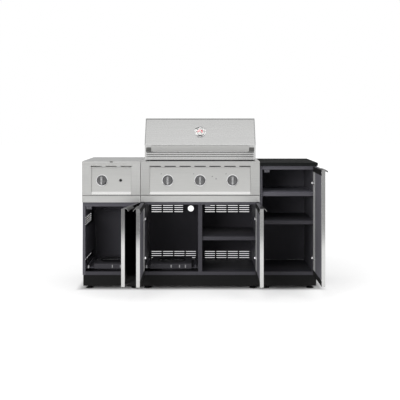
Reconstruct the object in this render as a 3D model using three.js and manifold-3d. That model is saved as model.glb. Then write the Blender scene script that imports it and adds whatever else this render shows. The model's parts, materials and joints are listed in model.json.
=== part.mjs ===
import * as THREE from 'three';
import { mergeVertices } from 'three/addons/utils/BufferGeometryUtils.js';
import Module from 'manifold-3d';

// A free-standing outdoor kitchen island: side-burner cabinet, gas grill and storage cabinet.
// Millimetres, +X to the right, +Y to the back, +Z up. Y = 0 is the front of the cabinet frames.

// Overall sizes
const leftWidth = 426;
const middleWidth = 870;
const rightWidth = 420;
const depth = 580;
const apron = 30; // heads, countertop and closed doors stand this far in front of the frames
const cabinetTop = 636;
const headHeight = 300;
const headTop = cabinetTop + headHeight;
const tallDrop = 34; // the tall cabinet ends this far below the tops of the heads
const tallCabinetTop = headTop - tallDrop;
const countertopThickness = 23;
const countertopOverhang = 5;
const countertopCorner = 12;
const plinthBottom = 22;
const plinthHeight = 79;
const plinthTop = plinthBottom + plinthHeight;
const sillHeight = 25;
const sillTop = plinthTop + sillHeight;
const floorRise = 12;
const floorTop = plinthTop + floorRise;
const railHeight = 32; // front rail over the left cabinet
const middleRailHeight = 18;
const tallRailHeight = 28;

// Sheet and clearances
const wall = 20; // double-skinned side panel
const skin = 1.5; // its sheet
const sheet = 2; // sheet of the stainless heads
const seat = 0.3; // gap between pieces that rest on each other
const slack = 1; // gap beside pieces that slide
const moduleGap = 0.4;
const overcut = 5; // how far a cutter runs past what it cuts

// Module edges, left to right
const leftEdge = -(leftWidth + middleWidth + rightWidth) / 2;
const seamLeft = leftEdge + leftWidth;
const seamRight = seamLeft + middleWidth;
const rightEdge = seamRight + rightWidth;
const modules = {
  left: { x: [leftEdge, seamLeft - moduleGap / 2], top: cabinetTop, rail: railHeight },
  middle: {
    x: [seamLeft + moduleGap / 2, seamRight - moduleGap / 2], top: cabinetTop, rail: middleRailHeight,
  },
  right: { x: [seamRight + moduleGap / 2, rightEdge], top: tallCabinetTop, rail: tallRailHeight },
};
const leftCentre = (leftEdge + seamLeft) / 2;
const middleCentre = (seamLeft + seamRight) / 2;

// Cabinet details
const foot = { radius: 28, topRadius: 15, height: 12, stemRadius: 6, inset: 45, sides: 16 };
const plinth = { setback: 4, backSetback: 20, sheet: 3, gusset: 76 };
const floorPan = { sheet: 2, sillDepth: 18 };
const backPanel = { sheet: 2, setback: 10 };
const frontRail = { depth: 20, sheet: 2 };
const divider = { width: 30 };
const shelf = {
  height: 27, sheet: 2, front: 15, fromBack: 80, middleDrop: 255, upperDrop: 197, lowerDrop: 404,
};
const shelfTops = {
  middle: cabinetTop - shelf.middleDrop,
  upper: tallCabinetTop - shelf.upperDrop,
  lower: tallCabinetTop - shelf.lowerDrop,
};
const vent = { width: 80, height: 4, gap: 12, rowGap: 12.7, rows: 4 };
const ventPitch = vent.width + vent.gap;
const ventRowPitch = vent.height + vent.rowGap;
const backVent = { drop: 89, rise: 69, leftColumns: 3, bayColumns: 4, bayStart: 37 };
const sideVent = { width: 66, gap: 20, first: 112, columns: 4, drop: 134, rise: 77 };
const ventWindow = { front: 8, margin: 10, above: 24 }; // opening in the inner skin behind the side vents
const hoseHole = { radius: 24, offset: 77, drop: 113, sides: 24 };
const hoseHoleZ = cabinetTop - hoseHole.drop;

// Tank trays on runners
const tray = {
  leftWidth: 260, middleWidth: 303, depth: 320, front: 22, sheet: 2, rise: 67, height: 30, lipHeight: 36,
  hole: 100, holeSides: 32,
};
const trayTop = floorTop + tray.rise;
const trayBottom = trayTop - tray.height;
const runner = { under: 12, sheet: 3, height: 26, setback: 6, bar: 12, barHeight: 20, barInset: 13 };

// Doors
const door = {
  standoff: 5, reveal: 2.5, meeting: 3, bottomGap: 3, topGap: 2, tallTopGap: 4, skin: 1.5,
  endFlange: 39, hingeFlange: 100, freeFlange: 14, liner: 2, leftOpen: 80, open: 90,
};
const doorBottom = plinthTop + door.bottomGap;
const doorTop = cabinetTop - door.topGap;
const tallDoorTop = tallCabinetTop - door.tallTopGap;
const doorThickness = apron - door.standoff;
const hinge = {
  inset: 11.5, standoff: 19.5, pin: 2.5, eye: 6, barHalf: 4, plate: 6, plateLength: 58,
  height: 18, fromEnd: 122, pocketHeight: 22, pocketSpare: 2, pocketSkin: 3, sides: 16,
};
const pull = { length: 165, fromEdge: 8, flange: 16, sheet: 1.8, reach: 22, drop: 20, steps: 8 };

// Side-burner head
const lid = { height: 20, gap: 0.5, hingeFromBack: 25, tail: 8, pin: 3.5, boss: 9, rearRail: 11 };
const lidEar = { thickness: 4, gap: 0.7, radius: 7 };
const notch = { radius: 14, depth: 6, height: 8, sides: 20 };
const well = { half: 140, front: 90, fromBack: 150, depth: 46 };
const burner = { radius: 52, height: 14, capRadius: 38, capHeight: 8, neck: 14, tube: 9 };
const panSupport = { overlap: 12, bar: 8, fingerGap: 18 };

// Fascia, control panels and what is set in them
const fascia = { height: 54, seamHeight: 4, panelRise: 3, panelDrop: 43 };
const seamTop = cabinetTop + fascia.height;
const panelBottom = seamTop + fascia.panelRise;
const panelTop = headTop - fascia.panelDrop;
const slot = { width: 82, height: 7, gap: 27, rise: 6 };
const panel = { setback: 8, sheet: 1.5, bevel: 20, lip: 4, leftMargin: 67, middleMargin: 66 };
const leftPanelWidth = leftWidth - 2 * panel.leftMargin;
const middlePanelWidth = middleWidth - 2 * panel.middleMargin;
const knob = {
  radius: 35, taper: 2, depth: 20, grip: 14, gripInset: 3, gripDepth: 8, fromEnd: 133, rise: 104,
  clear: 5, bore: 15, sides: 40, leftOffset: 68,
};
const knobZ = panelBottom + knob.rise;
const knobPitch = middlePanelWidth / 2 - knob.fromEnd;
const bezel = { gap: 1.5, rim: 5.5, height: 10, recessDepth: 7, sides: 40 };
const bezelRecess = knob.radius + bezel.gap;
const stem = { radius: 4, sides: 16, into: 14 };
const valve = { half: 15, back: 14, bore: 28, railDrop: 12, railRadius: 9, railEnd: 64 };
const igniter = {
  offset: 68, radius: 9.5, cap: 6, plunger: 6, length: 22, ring: 13, ringHeight: 6, ringFloor: 1.5, sides: 24,
};

// Grill head
const firebox = {
  side: 57, front: 36, fromBack: 156, depth: 234, sheet: 3, flange: 12, drain: 30, ledge: 12, ledgeDrop: 30,
};
const grate = { bar: 6, height: 8, bars: 25, cross: 3 };
const grillBurner = { radius: 17, endGap: 22, sides: 16 };
const grease = { side: 17, rise: 5, height: 25, fromBack: 80, sheet: 1.5, frontRise: 3.5, ledge: 20 };
const hood = {
  side: 26, sheet: 2, gap: 9, lip: 17, step: 4, riser: 14, ledges: 3, face: 94, front: 14,
  slopeRun: 123, slopeRise: 184, crestRun: 13, crestRise: 8, topFromBack: 180, rearCrestFromBack: 150,
  rearCrestDrop: 12, fromBack: 90, backFoldDrop: 6, backRise: 7, rearGap: 2,
  pivotFromBack: 112, pivotRise: 52, pin: 6, ear: 5, earRadius: 12, postFront: 44, postBack: 5,
};
const hoodHalf = middleWidth / 2 - hood.side;
const hoodBottom = headTop + hood.gap;
const hoodLip = hoodBottom + hood.lip;
const hoodFace = hood.front + hood.ledges * hood.step;
const hoodFold = hoodLip + hood.face;
const crest = [hoodFace + hood.slopeRun, hoodFold + hood.slopeRise];
const hoodTop = crest[1] + hood.crestRise;
const hoodPivot = [depth - hood.pivotFromBack, headTop + hood.pivotRise];
const handle = {
  inset: 52, drop: 6, height: 43, sheet: 4, fold: 9, standoff: 50, bracketInset: 14, bracketLap: 11,
  bracketDrop: 13, bracketBelow: 3, bracketFront: 2,
};
const gauge = {
  rise: 91, radius: 46.5, height: 10, rim: 5.5, dialDepth: 3, probe: 4, probeLength: 60, sides: 40,
};

const wasm = await Module();
wasm.setup();

// A closed three.js geometry as a solid that can be joined and cut
function solidOf(geometry) {
  const bare = geometry.clone();
  bare.deleteAttribute('normal');
  bare.deleteAttribute('uv');
  const merged = mergeVertices(bare);
  return new wasm.Manifold(new wasm.Mesh({
    numProp: 3,
    vertProperties: Float32Array.from(merged.attributes.position.array),
    triVerts: Uint32Array.from(merged.index.array),
  }));
}

// A box between two values on each axis, in either order
function block(xs, ys, zs) {
  const low = [xs, ys, zs].map((pair) => Math.min(...pair));
  const high = [xs, ys, zs].map((pair) => Math.max(...pair));
  const shape = new THREE.BoxGeometry(high[0] - low[0], high[1] - low[1], high[2] - low[2]);
  shape.translate((low[0] + high[0]) / 2, (low[1] + high[1]) / 2, (low[2] + high[2]) / 2);
  return solidOf(shape);
}

// A round bar along an axis from one value to another; its centre lies on the other two axes
function rod(axis, radius, centre, [from, to], sides = hinge.sides, endRadius = radius) {
  const length = Math.abs(to - from);
  const radii = to > from ? [endRadius, radius] : [radius, endRadius];
  const shape = new THREE.CylinderGeometry(radii[0], radii[1], length, sides);
  const middle = (from + to) / 2;
  if (axis === 'x') {
    shape.rotateZ(-Math.PI / 2);
    shape.translate(middle, centre[0], centre[1]);
  } else if (axis === 'y') {
    shape.translate(centre[0], middle, centre[1]);
  } else {
    shape.rotateX(Math.PI / 2);
    shape.translate(centre[0], centre[1], middle);
  }
  return solidOf(shape);
}

// An outline extruded along one axis: (y, z) points along X, (x, z) along Y, (x, y) along Z
function prism(axis, points, [from, to]) {
  const outline = new THREE.Shape(points.map(([a, b]) => new THREE.Vector2(a, b)));
  const shape = new THREE.ExtrudeGeometry(outline, { depth: to - from, bevelEnabled: false });
  const turn = new THREE.Matrix4();
  if (axis === 'x') {
    turn.makeBasis(new THREE.Vector3(0, 1, 0), new THREE.Vector3(0, 0, 1), new THREE.Vector3(1, 0, 0));
    turn.setPosition(from, 0, 0);
  } else if (axis === 'y') {
    turn.makeBasis(new THREE.Vector3(1, 0, 0), new THREE.Vector3(0, 0, 1), new THREE.Vector3(0, -1, 0));
    turn.setPosition(0, to, 0);
  } else {
    turn.setPosition(0, 0, from);
  }
  shape.applyMatrix4(turn);
  return solidOf(shape);
}

// A pair of values on both sides of a middle, and a pair moved apart or together
function span(middle, half) {
  return [middle - half, middle + half];
}

function widen([low, high], by) {
  return [low - by, high + by];
}

function join(...solids) {
  return solids.flat().reduce((whole, next) => whole.add(next));
}

function cut(solid, ...tools) {
  return tools.flat().reduce((whole, tool) => whole.subtract(tool), solid);
}

// Materials
function finish(color, roughness, metalness) {
  return new THREE.MeshStandardMaterial({ color, roughness, metalness });
}
const stainless = finish(0xbcbcb9, 0.32, 1);
const darkCoat = finish(0x504f56, 0.5, 0.4);
const blackCoat = finish(0x1f1f1f, 0.55, 0.3);
const blackTop = finish(0x2c2c2d, 0.45, 0.1);
const chrome = finish(0xd8d8d8, 0.12, 1);
const blackPlastic = finish(0x141414, 0.4, 0);
const castIron = finish(0x2a2a2a, 0.8, 0.6);
const enamel = finish(0x26262a, 0.35, 0.2);

const island = new THREE.Group();

// Puts a solid into a group as a named mesh
function place(name, solid, material, parent = island) {
  const { vertProperties, triVerts } = solid.getMesh();
  const geometry = new THREE.BufferGeometry();
  geometry.setAttribute('position', new THREE.BufferAttribute(Float32Array.from(vertProperties), 3));
  geometry.setIndex(new THREE.BufferAttribute(Uint32Array.from(triVerts), 1));
  geometry.computeVertexNormals();
  const mesh = new THREE.Mesh(geometry, material);
  mesh.name = name;
  parent.add(mesh);
  return mesh;
}

// Plinth: a sheet ring with a gusset and a levelling foot at each corner
function plinthFrame([x0, x1]) {
  const xs = [x0 + plinth.setback, x1 - plinth.setback];
  const ys = [plinth.setback, depth - plinth.backSetback];
  const zs = [plinthBottom, plinthTop];
  const t = plinth.sheet;
  const ring = cut(
    block(xs, ys, zs),
    block([xs[0] + t, xs[1] - t], [ys[0] + t, ys[1] - t], [zs[0] - overcut, zs[1] + overcut]),
  );
  const corners = [];
  for (const [x, sideX] of [[xs[0], 1], [xs[1], -1]]) {
    for (const [y, sideY] of [[ys[0], 1], [ys[1], -1]]) {
      const centre = [x + sideX * (foot.inset - plinth.setback), y + sideY * (foot.inset - plinth.setback)];
      corners.push(block([x, x + sideX * plinth.gusset], [y, y + sideY * plinth.gusset], [zs[0], zs[0] + t]));
      corners.push(rod('z', foot.stemRadius, centre, [foot.height / 2, zs[0] + t], foot.sides));
      corners.push(rod('z', foot.radius, centre, [0, foot.height], foot.sides, foot.topRadius));
    }
  }
  return join(ring, corners);
}

// Floor pan: a plate with a front sill and a rear fold, between the side panels
function floorOf([x0, x1]) {
  const xs = [x0 + wall + seat, x1 - wall - seat];
  const back = depth - backPanel.setback;
  const low = plinthTop + seat;
  const plate = block(xs, [0, back], [floorTop - floorPan.sheet, floorTop]);
  const sill = cut(
    block(xs, [0, floorPan.sillDepth], [low, sillTop]),
    block(
      [xs[0] - overcut, xs[1] + overcut],
      [floorPan.sheet, floorPan.sillDepth - floorPan.sheet],
      [low - overcut, sillTop - floorPan.sheet],
    ),
  );
  const rear = block(xs, [back - floorPan.sheet, back], [low, floorTop]);
  return join(plate, sill, rear);
}

// Side panel: a double-skinned tube, open at its top and bottom ends
function sidePanel(edge, inward, top) {
  const core = block(
    [edge + inward * skin, edge + inward * (wall - skin)],
    [skin, depth - skin],
    [plinthTop - overcut, top + overcut],
  );
  return cut(block([edge, edge + inward * wall], [0, depth], [plinthTop + seat, top]), core);
}

// Rows of vent slots through the back panel, from their first column's left edge
function backSlots(start, columns) {
  const y = [depth - backPanel.setback - backPanel.sheet - overcut, depth + overcut];
  const tools = [];
  for (const top of [cabinetTop - backVent.drop, floorTop + backVent.rise]) {
    for (let column = 0; column < columns; column += 1) {
      for (let row = 0; row < vent.rows; row += 1) {
        const x = start + column * ventPitch;
        const z = top - row * ventRowPitch;
        tools.push(block([x, x + vent.width], y, [z - vent.height / 2, z + vent.height / 2]));
      }
    }
  }
  return tools;
}

function backOf([x0, x1], top) {
  const y = depth - backPanel.setback;
  return block([x0 + wall + seat, x1 - wall - seat], [y - backPanel.sheet, y], [floorTop + seat, top]);
}

// Front rail over an opening: a folded channel
function railOf([x0, x1], top, height) {
  const xs = [x0 + wall + seat, x1 - wall - seat];
  return cut(
    block(xs, [0, frontRail.depth], [top - height, top]),
    block(
      [xs[0] - overcut, xs[1] + overcut],
      [frontRail.sheet, frontRail.depth + overcut],
      [top - height + frontRail.sheet, top - frontRail.sheet],
    ),
  );
}

// Shelf: a plate folded down at its front and its back
function shelfBetween(x0, x1, top) {
  const xs = [x0 + seat, x1 - seat];
  const ys = [shelf.front, depth - shelf.fromBack];
  return cut(
    block(xs, ys, [top - shelf.height, top]),
    block(
      [xs[0] - overcut, xs[1] + overcut],
      [ys[0] + shelf.sheet, ys[1] - shelf.sheet],
      [top - shelf.height - overcut, top - shelf.sheet],
    ),
  );
}

// Hinge arm: a plate on the side panel, a bar out to the pivot and an eye round the door's pin
function hingeArm(edge, inward, z) {
  const zs = [z - hinge.height / 2, z + hinge.height / 2];
  const pivot = [edge + inward * (door.reveal + hinge.inset), -hinge.standoff];
  const tip = edge + inward * (wall + hinge.plate);
  const bar = [pivot[1] - hinge.barHalf, pivot[1] + hinge.barHalf];
  const arm = join(
    block([edge + inward * (wall - skin), tip], [skin, hinge.plateLength], zs),
    block([edge + inward * wall, tip], [bar[0], hinge.plateLength], zs),
    block([pivot[0], tip], bar, zs),
    rod('z', hinge.eye, pivot, zs),
  );
  return cut(arm, rod('z', hinge.pin + seat, pivot, [zs[0] - overcut, zs[1] + overcut]));
}

function hingeHeights(top) {
  return [doorBottom + hinge.fromEnd, top - hinge.fromEnd];
}

// Runner: a ledge on a wall, with a slide bar along it, that reaches under the edge of a tray
function runnerOn(face, inward, reach) {
  const top = trayBottom - seat;
  const low = top - runner.sheet;
  const ys = [tray.front + runner.setback, tray.front + tray.depth];
  const root = face - inward * skin;
  const bar = face + inward * runner.barInset;
  return join(
    block([root, face + inward * runner.sheet], ys, [low, low + runner.height]),
    block([root, face + inward * (reach + runner.under)], ys, [low, top]),
    block([bar, bar + inward * runner.bar], ys, [low, top + runner.barHeight]),
  );
}

// Tray: a deck with a round hole for the foot of a gas bottle, side skirts and a deeper front lip
function tankTray(middle, width) {
  const t = tray.sheet;
  const xs = [middle - width / 2, middle + width / 2];
  const ys = [tray.front, tray.front + tray.depth];
  const deck = cut(
    block(xs, ys, [trayBottom, trayTop]),
    block([xs[0] + t, xs[1] - t], [ys[0] + t, ys[1] + overcut], [trayBottom - overcut, trayTop - t]),
  );
  const lip = block(xs, [ys[0], ys[0] + t], [trayTop - tray.lipHeight, trayTop]);
  const centre = [middle, (ys[0] + ys[1]) / 2];
  return cut(join(deck, lip), rod('z', tray.hole, centre, [trayBottom, trayTop + overcut], tray.holeSides));
}

// Door, built shut: u runs from its hinge edge to its free edge, v from its inner face outwards
function doorSpace(side) {
  const x = (u) => side * (u - hinge.inset);
  const y = (v) => hinge.standoff - door.standoff - v;
  return { x, y, part: (us, vs, zs) => block(us.map(x), vs.map(y), zs) };
}

function doorPan(side, width, top) {
  const { x, y, part } = doorSpace(side);
  const t = doorThickness;
  const s = door.skin;
  const zs = [doorBottom, top];
  const pocketEnd = hinge.inset + Math.hypot(wall + hinge.plate - door.reveal - hinge.inset, hinge.barHalf)
    + hinge.pocketSpare;
  const pinAt = [x(hinge.inset), y(hinge.standoff - door.standoff)];
  const cups = [];
  const pockets = [];
  const pins = [];
  for (const z of hingeHeights(top)) {
    const pocket = span(z, hinge.pocketHeight / 2);
    cups.push(part([0, pocketEnd + s], [0, t], widen(pocket, s)));
    pockets.push(part([-overcut, pocketEnd], [-overcut, t - hinge.pocketSkin], pocket));
    pins.push(rod('z', hinge.pin, pinAt, widen(pocket, s / 2)));
  }
  const cavity = cut(part([s, width - s], [s, t - s], [zs[0] + s, zs[1] - s]), cups);
  const window = part(
    [door.hingeFlange, width - door.freeFlange],
    [-overcut, s + seat],
    [zs[0] + door.endFlange, zs[1] - door.endFlange],
  );
  return join(cut(part([0, width], [0, t], zs), cavity, window, pockets), pins);
}

function doorLiner(side, width, top) {
  return doorSpace(side).part(
    [door.hingeFlange + seat, width - door.freeFlange - seat],
    [0, door.liner],
    [doorBottom + door.endFlange + seat, top - door.endFlange - seat],
  );
}

// Lip pull: a flange on the door's top edge that curves out and down
function doorPull(side, width, top) {
  const { x, y } = doorSpace(side);
  const low = top + seat;
  const high = low + pull.sheet;
  const outer = [];
  const inner = [];
  for (let step = 0; step <= pull.steps; step += 1) {
    const angle = (step / pull.steps) * (Math.PI / 2);
    const out = Math.sin(angle);
    const down = 1 - Math.cos(angle);
    outer.push([doorThickness + pull.reach * out, high - pull.drop * down]);
    inner.push([doorThickness + (pull.reach - pull.sheet) * out, low - (pull.drop - pull.sheet) * down]);
  }
  const back = doorThickness - pull.flange;
  const profile = [[back, low], [back, high], ...outer, ...inner.reverse()];
  const ends = [x(width - pull.fromEdge - pull.length), x(width - pull.fromEdge)];
  return prism('x', profile.map(([v, z]) => [y(v), z]), [Math.min(...ends), Math.max(...ends)]);
}

// A door hung on the given module edge and swung open by an angle in degrees
function hangDoor(name, edge, inward, width, top, open) {
  const leaf = new THREE.Group();
  leaf.position.set(edge + inward * (door.reveal + hinge.inset), -hinge.standoff, 0);
  leaf.rotation.z = -inward * THREE.MathUtils.degToRad(open);
  place(`${name}_pan`, doorPan(inward, width, top), stainless, leaf);
  place(`${name}_liner`, doorLiner(inward, width, top), darkCoat, leaf);
  place(`${name}_pull`, doorPull(inward, width, top), stainless, leaf);
  island.add(leaf);
}

// Carcass of one module
function carcass(name, { x, top, rail }, hinges, leafTop = doorTop) {
  const [x0, x1] = x;
  const left = [sidePanel(x0, 1, top)];
  const right = [sidePanel(x1, -1, top)];
  for (const z of hingeHeights(leafTop)) {
    if (hinges.includes('left')) left.push(hingeArm(x0, 1, z));
    if (hinges.includes('right')) right.push(hingeArm(x1, -1, z));
  }
  place(`${name}_plinth`, plinthFrame(x), blackCoat);
  place(`${name}_floor`, floorOf(x), darkCoat);
  place(`${name}_rail`, railOf(x, top, rail), darkCoat);
  return { left, right, back: backOf(x, top) };
}

// Vent slots through the left cabinet's outer side panel
function sideSlots(edge) {
  const xs = [edge - overcut, edge + wall + overcut];
  const tools = [];
  for (let column = 0; column < sideVent.columns; column += 1) {
    const y = sideVent.first + column * (sideVent.width + sideVent.gap);
    const heights = [floorTop + sideVent.rise];
    const highest = cabinetTop - sideVent.drop;
    for (let row = 0; row < vent.rows; row += 1) heights.push(highest - row * ventRowPitch);
    for (const z of heights) {
      tools.push(block(xs, [y, y + sideVent.width], [z - vent.height / 2, z + vent.height / 2]));
    }
  }
  return tools;
}

// Openings in the inner skin of the same panel, one behind each group of vents
function sideWindows(edge) {
  const xs = [edge + wall - skin - overcut, edge + wall + overcut];
  const ventsEnd = sideVent.first + sideVent.columns * (sideVent.width + sideVent.gap) - sideVent.gap;
  const ys = [ventWindow.front, ventsEnd + ventWindow.margin];
  const single = floorTop + sideVent.rise;
  const highest = cabinetTop - sideVent.drop;
  const lowest = highest - (vent.rows - 1) * ventRowPitch;
  return [[single, single], [lowest, highest]].map(([low, high]) => block(
    xs, ys, [low - vent.height / 2 - ventWindow.margin, high + vent.height / 2 + ventWindow.above],
  ));
}

function buildLeftCabinet() {
  const { x } = modules.left;
  const parts = carcass('left', modules.left, ['right']);
  const faces = [x[0] + wall, x[1] - wall];
  const ventSpan = (backVent.leftColumns - 1) * ventPitch + vent.width;
  const reach = (faces[1] - faces[0] - tray.leftWidth) / 2;
  const ventedSide = cut(join(parts.left, runnerOn(faces[0], 1, reach)), sideSlots(x[0]), sideWindows(x[0]));
  place('left_side_left', ventedSide, darkCoat);
  place('left_side_right', join(parts.right, runnerOn(faces[1], -1, reach)), darkCoat);
  place('left_back', cut(parts.back, backSlots(leftCentre - ventSpan / 2, backVent.leftColumns)), darkCoat);
  place('left_tank_tray', tankTray((faces[0] + faces[1]) / 2, tray.leftWidth), blackCoat);
}

function buildMiddleCabinet() {
  const { x, top, rail } = modules.middle;
  const parts = carcass('middle', modules.middle, ['left', 'right']);
  const faces = [x[0] + wall, x[1] - wall];
  const post = [middleCentre - divider.width / 2, middleCentre + divider.width / 2];
  const bayRun = (backVent.bayColumns - 1) * ventPitch + vent.width;
  const hole = rod(
    'y', hoseHole.radius, [middleCentre - hoseHole.offset, hoseHoleZ],
    [depth - backPanel.setback - backPanel.sheet - overcut, depth + overcut], hoseHole.sides,
  );
  const slots = [
    ...backSlots(middleCentre + backVent.bayStart, backVent.bayColumns),
    ...backSlots(middleCentre - backVent.bayStart - bayRun, backVent.bayColumns),
  ];
  const slotKeep = block(
    [middleCentre - hoseHole.offset - vent.width / 2 - ventPitch / 4, post[0]],
    [0, depth + overcut],
    [hoseHoleZ - hoseHole.radius - vent.height, cabinetTop - backVent.drop + vent.height],
  );
  const farSlots = slots.map((tool) => tool.subtract(slotKeep));
  const high = top - rail - seat;
  const core = block(
    [post[0] + skin, post[1] - skin],
    [skin, depth - backPanel.setback - backPanel.sheet - slack - skin],
    [floorTop - overcut, high + overcut],
  );
  const dividerTube = cut(
    block(post, [0, depth - backPanel.setback - backPanel.sheet - slack], [floorTop + seat, high]),
    core,
    block([post[0] - overcut, post[1] + overcut], [-overcut, floorPan.sillDepth + seat], [0, sillTop + seat]),
  );
  const reach = (post[0] - faces[0] - tray.middleWidth) / 2;
  place('middle_side_left', join(parts.left, runnerOn(faces[0], 1, reach)), darkCoat);
  place('middle_side_right', join(parts.right), darkCoat);
  place('middle_back', cut(parts.back, farSlots, hole), darkCoat);
  place('middle_divider', join(dividerTube, runnerOn(post[0], -1, reach)), darkCoat);
  place('middle_shelf', shelfBetween(post[1], faces[1], shelfTops.middle), darkCoat);
  place('middle_tank_tray', tankTray((faces[0] + post[0]) / 2, tray.middleWidth), blackCoat);
}

function buildRightCabinet() {
  const { x, top } = modules.right;
  const parts = carcass('right', modules.right, ['right'], tallDoorTop);
  const faces = [x[0] + wall, x[1] - wall];
  place('right_side_left', join(parts.left), darkCoat);
  place('right_side_right', join(parts.right), darkCoat);
  place('right_back', parts.back, darkCoat);
  place('right_shelf_upper', shelfBetween(...faces, shelfTops.upper), darkCoat);
  place('right_shelf_lower', shelfBetween(...faces, shelfTops.lower), darkCoat);

  const low = top + seat;
  const edge = x[1] + countertopOverhang;
  const corner = [];
  for (let step = 0; step <= pull.steps; step += 1) {
    const angle = (step / pull.steps - 1) * (Math.PI / 2);
    corner.push([
      edge - countertopCorner + countertopCorner * Math.cos(angle),
      -apron + countertopCorner + countertopCorner * Math.sin(angle),
    ]);
  }
  const outline = [[x[0], depth], [x[0], -apron], ...corner, [edge, depth]];
  place('right_countertop', prism('z', outline, [low, low + countertopThickness]), blackTop);
}

// Knob, valve stem and igniter, all on axes that run along Y at the control panel
const panelFace = -apron + panel.setback;
const panelBack = panelFace + panel.sheet;

function controlPanel(centre, width, knobXs, buttonX) {
  const half = width / 2 - seat;
  const bottom = panelBottom + seat;
  const top = panelTop - seat;
  const t = panel.sheet;
  const outline = [
    [-apron, bottom], [-apron, bottom + t], [panelFace, bottom + panel.bevel], [panelFace, top - panel.lip],
    [-apron, top - t], [-apron, top], [panelBack, top], [panelBack, bottom],
  ];
  const hollow = [
    [panelBack - t, bottom + t], [panelBack - t, bottom + t + overcut],
    [panelFace + t / 2, bottom + panel.bevel],
    [panelBack + overcut, bottom + panel.bevel], [panelBack + overcut, bottom + t],
  ];
  const body = cut(
    prism('x', outline, [centre - half, centre + half]),
    prism('x', hollow, [centre - half + t, centre + half - t]),
  );
  const ends = [-1, 1].map((side) => block(
    [centre + side * half, centre + side * (half - t)],
    [-apron, panelBack],
    [bottom, top],
  ));
  const through = [panelBack + overcut, -apron - overcut];
  const bezelFront = panelFace - bezel.height;
  const bezels = knobXs.map((x) => cut(
    rod('y', bezelRecess + bezel.rim, [x, knobZ], [panelFace + t / 2, bezelFront], bezel.sides),
    rod('y', bezelRecess, [x, knobZ], [bezelFront + bezel.recessDepth, bezelFront - overcut], bezel.sides),
  ));
  const holes = knobXs.map((x) => rod('y', stem.radius + seat * 2, [x, knobZ], through));
  if (buttonX !== undefined) {
    const at = [buttonX, knobZ];
    const front = panelFace - igniter.ringHeight;
    const recess = [panelFace - igniter.ringFloor, front - overcut];
    bezels.push(cut(
      rod('y', igniter.ring, at, [panelFace + t / 2, front], igniter.sides),
      rod('y', igniter.radius + seat, at, recess, igniter.sides),
    ));
    holes.push(rod('y', igniter.plunger + seat, at, through, igniter.sides));
  }
  return cut(join(body, ends, bezels), holes);
}

// Valve body behind the panel, with a blind bore for the stem
function valveAt(x) {
  const front = panelBack + seat;
  return block(span(x, valve.half), [front, front + valve.bore + valve.back], span(knobZ, valve.half));
}

function valveBore(x) {
  const front = panelBack + seat;
  return rod('y', stem.radius + seat, [x, knobZ], [front - overcut, front + valve.bore], stem.sides);
}

const knobBack = panelFace - bezel.height + bezel.recessDepth - knob.clear;
const knobFront = knobBack - knob.depth;

function knobAt(x) {
  const frontRadius = knob.radius - knob.taper;
  const body = rod('y', knob.radius, [x, knobZ], [knobBack, knobFront], knob.sides, frontRadius);
  const grip = block(
    span(x, knob.grip / 2),
    [knobFront + knob.grip / 2, knobFront - knob.gripDepth],
    span(knobZ, frontRadius - knob.gripInset),
  );
  const depths = [knobBack + overcut, knobBack - knob.bore - seat];
  const bore = rod('y', stem.radius + seat, [x, knobZ], depths, stem.sides);
  return cut(join(body, grip), bore);
}

function stemAt(x) {
  const inner = panelBack + seat + stem.into;
  return rod('y', stem.radius, [x, knobZ], [inner, knobBack - knob.bore], stem.sides);
}

// Stainless box that both heads start from: front, sides and back, open below
function headBox([x0, x1], top, centre, panelWidth) {
  const low = cabinetTop + seat;
  const box = cut(
    block([x0, x1], [-apron, depth], [low, top]),
    block([x0 + sheet, x1 - sheet], [-apron + sheet, depth - sheet], [low - overcut, top - sheet]),
  );
  const frontCut = [-apron - overcut, -apron + sheet + seat];
  const opening = block(span(centre, panelWidth / 2), frontCut, [panelBottom, panelTop]);
  const pitch = slot.width + slot.gap;
  const slots = Math.floor((x1 - x0 - slot.gap) / pitch);
  const vents = [];
  for (let index = 0; index < slots; index += 1) {
    const x = centre + (index - (slots - 1) / 2) * pitch;
    vents.push(block(span(x, slot.width / 2), frontCut, span(panelTop + slot.rise, slot.height / 2)));
  }
  return cut(box, opening, vents);
}

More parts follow.
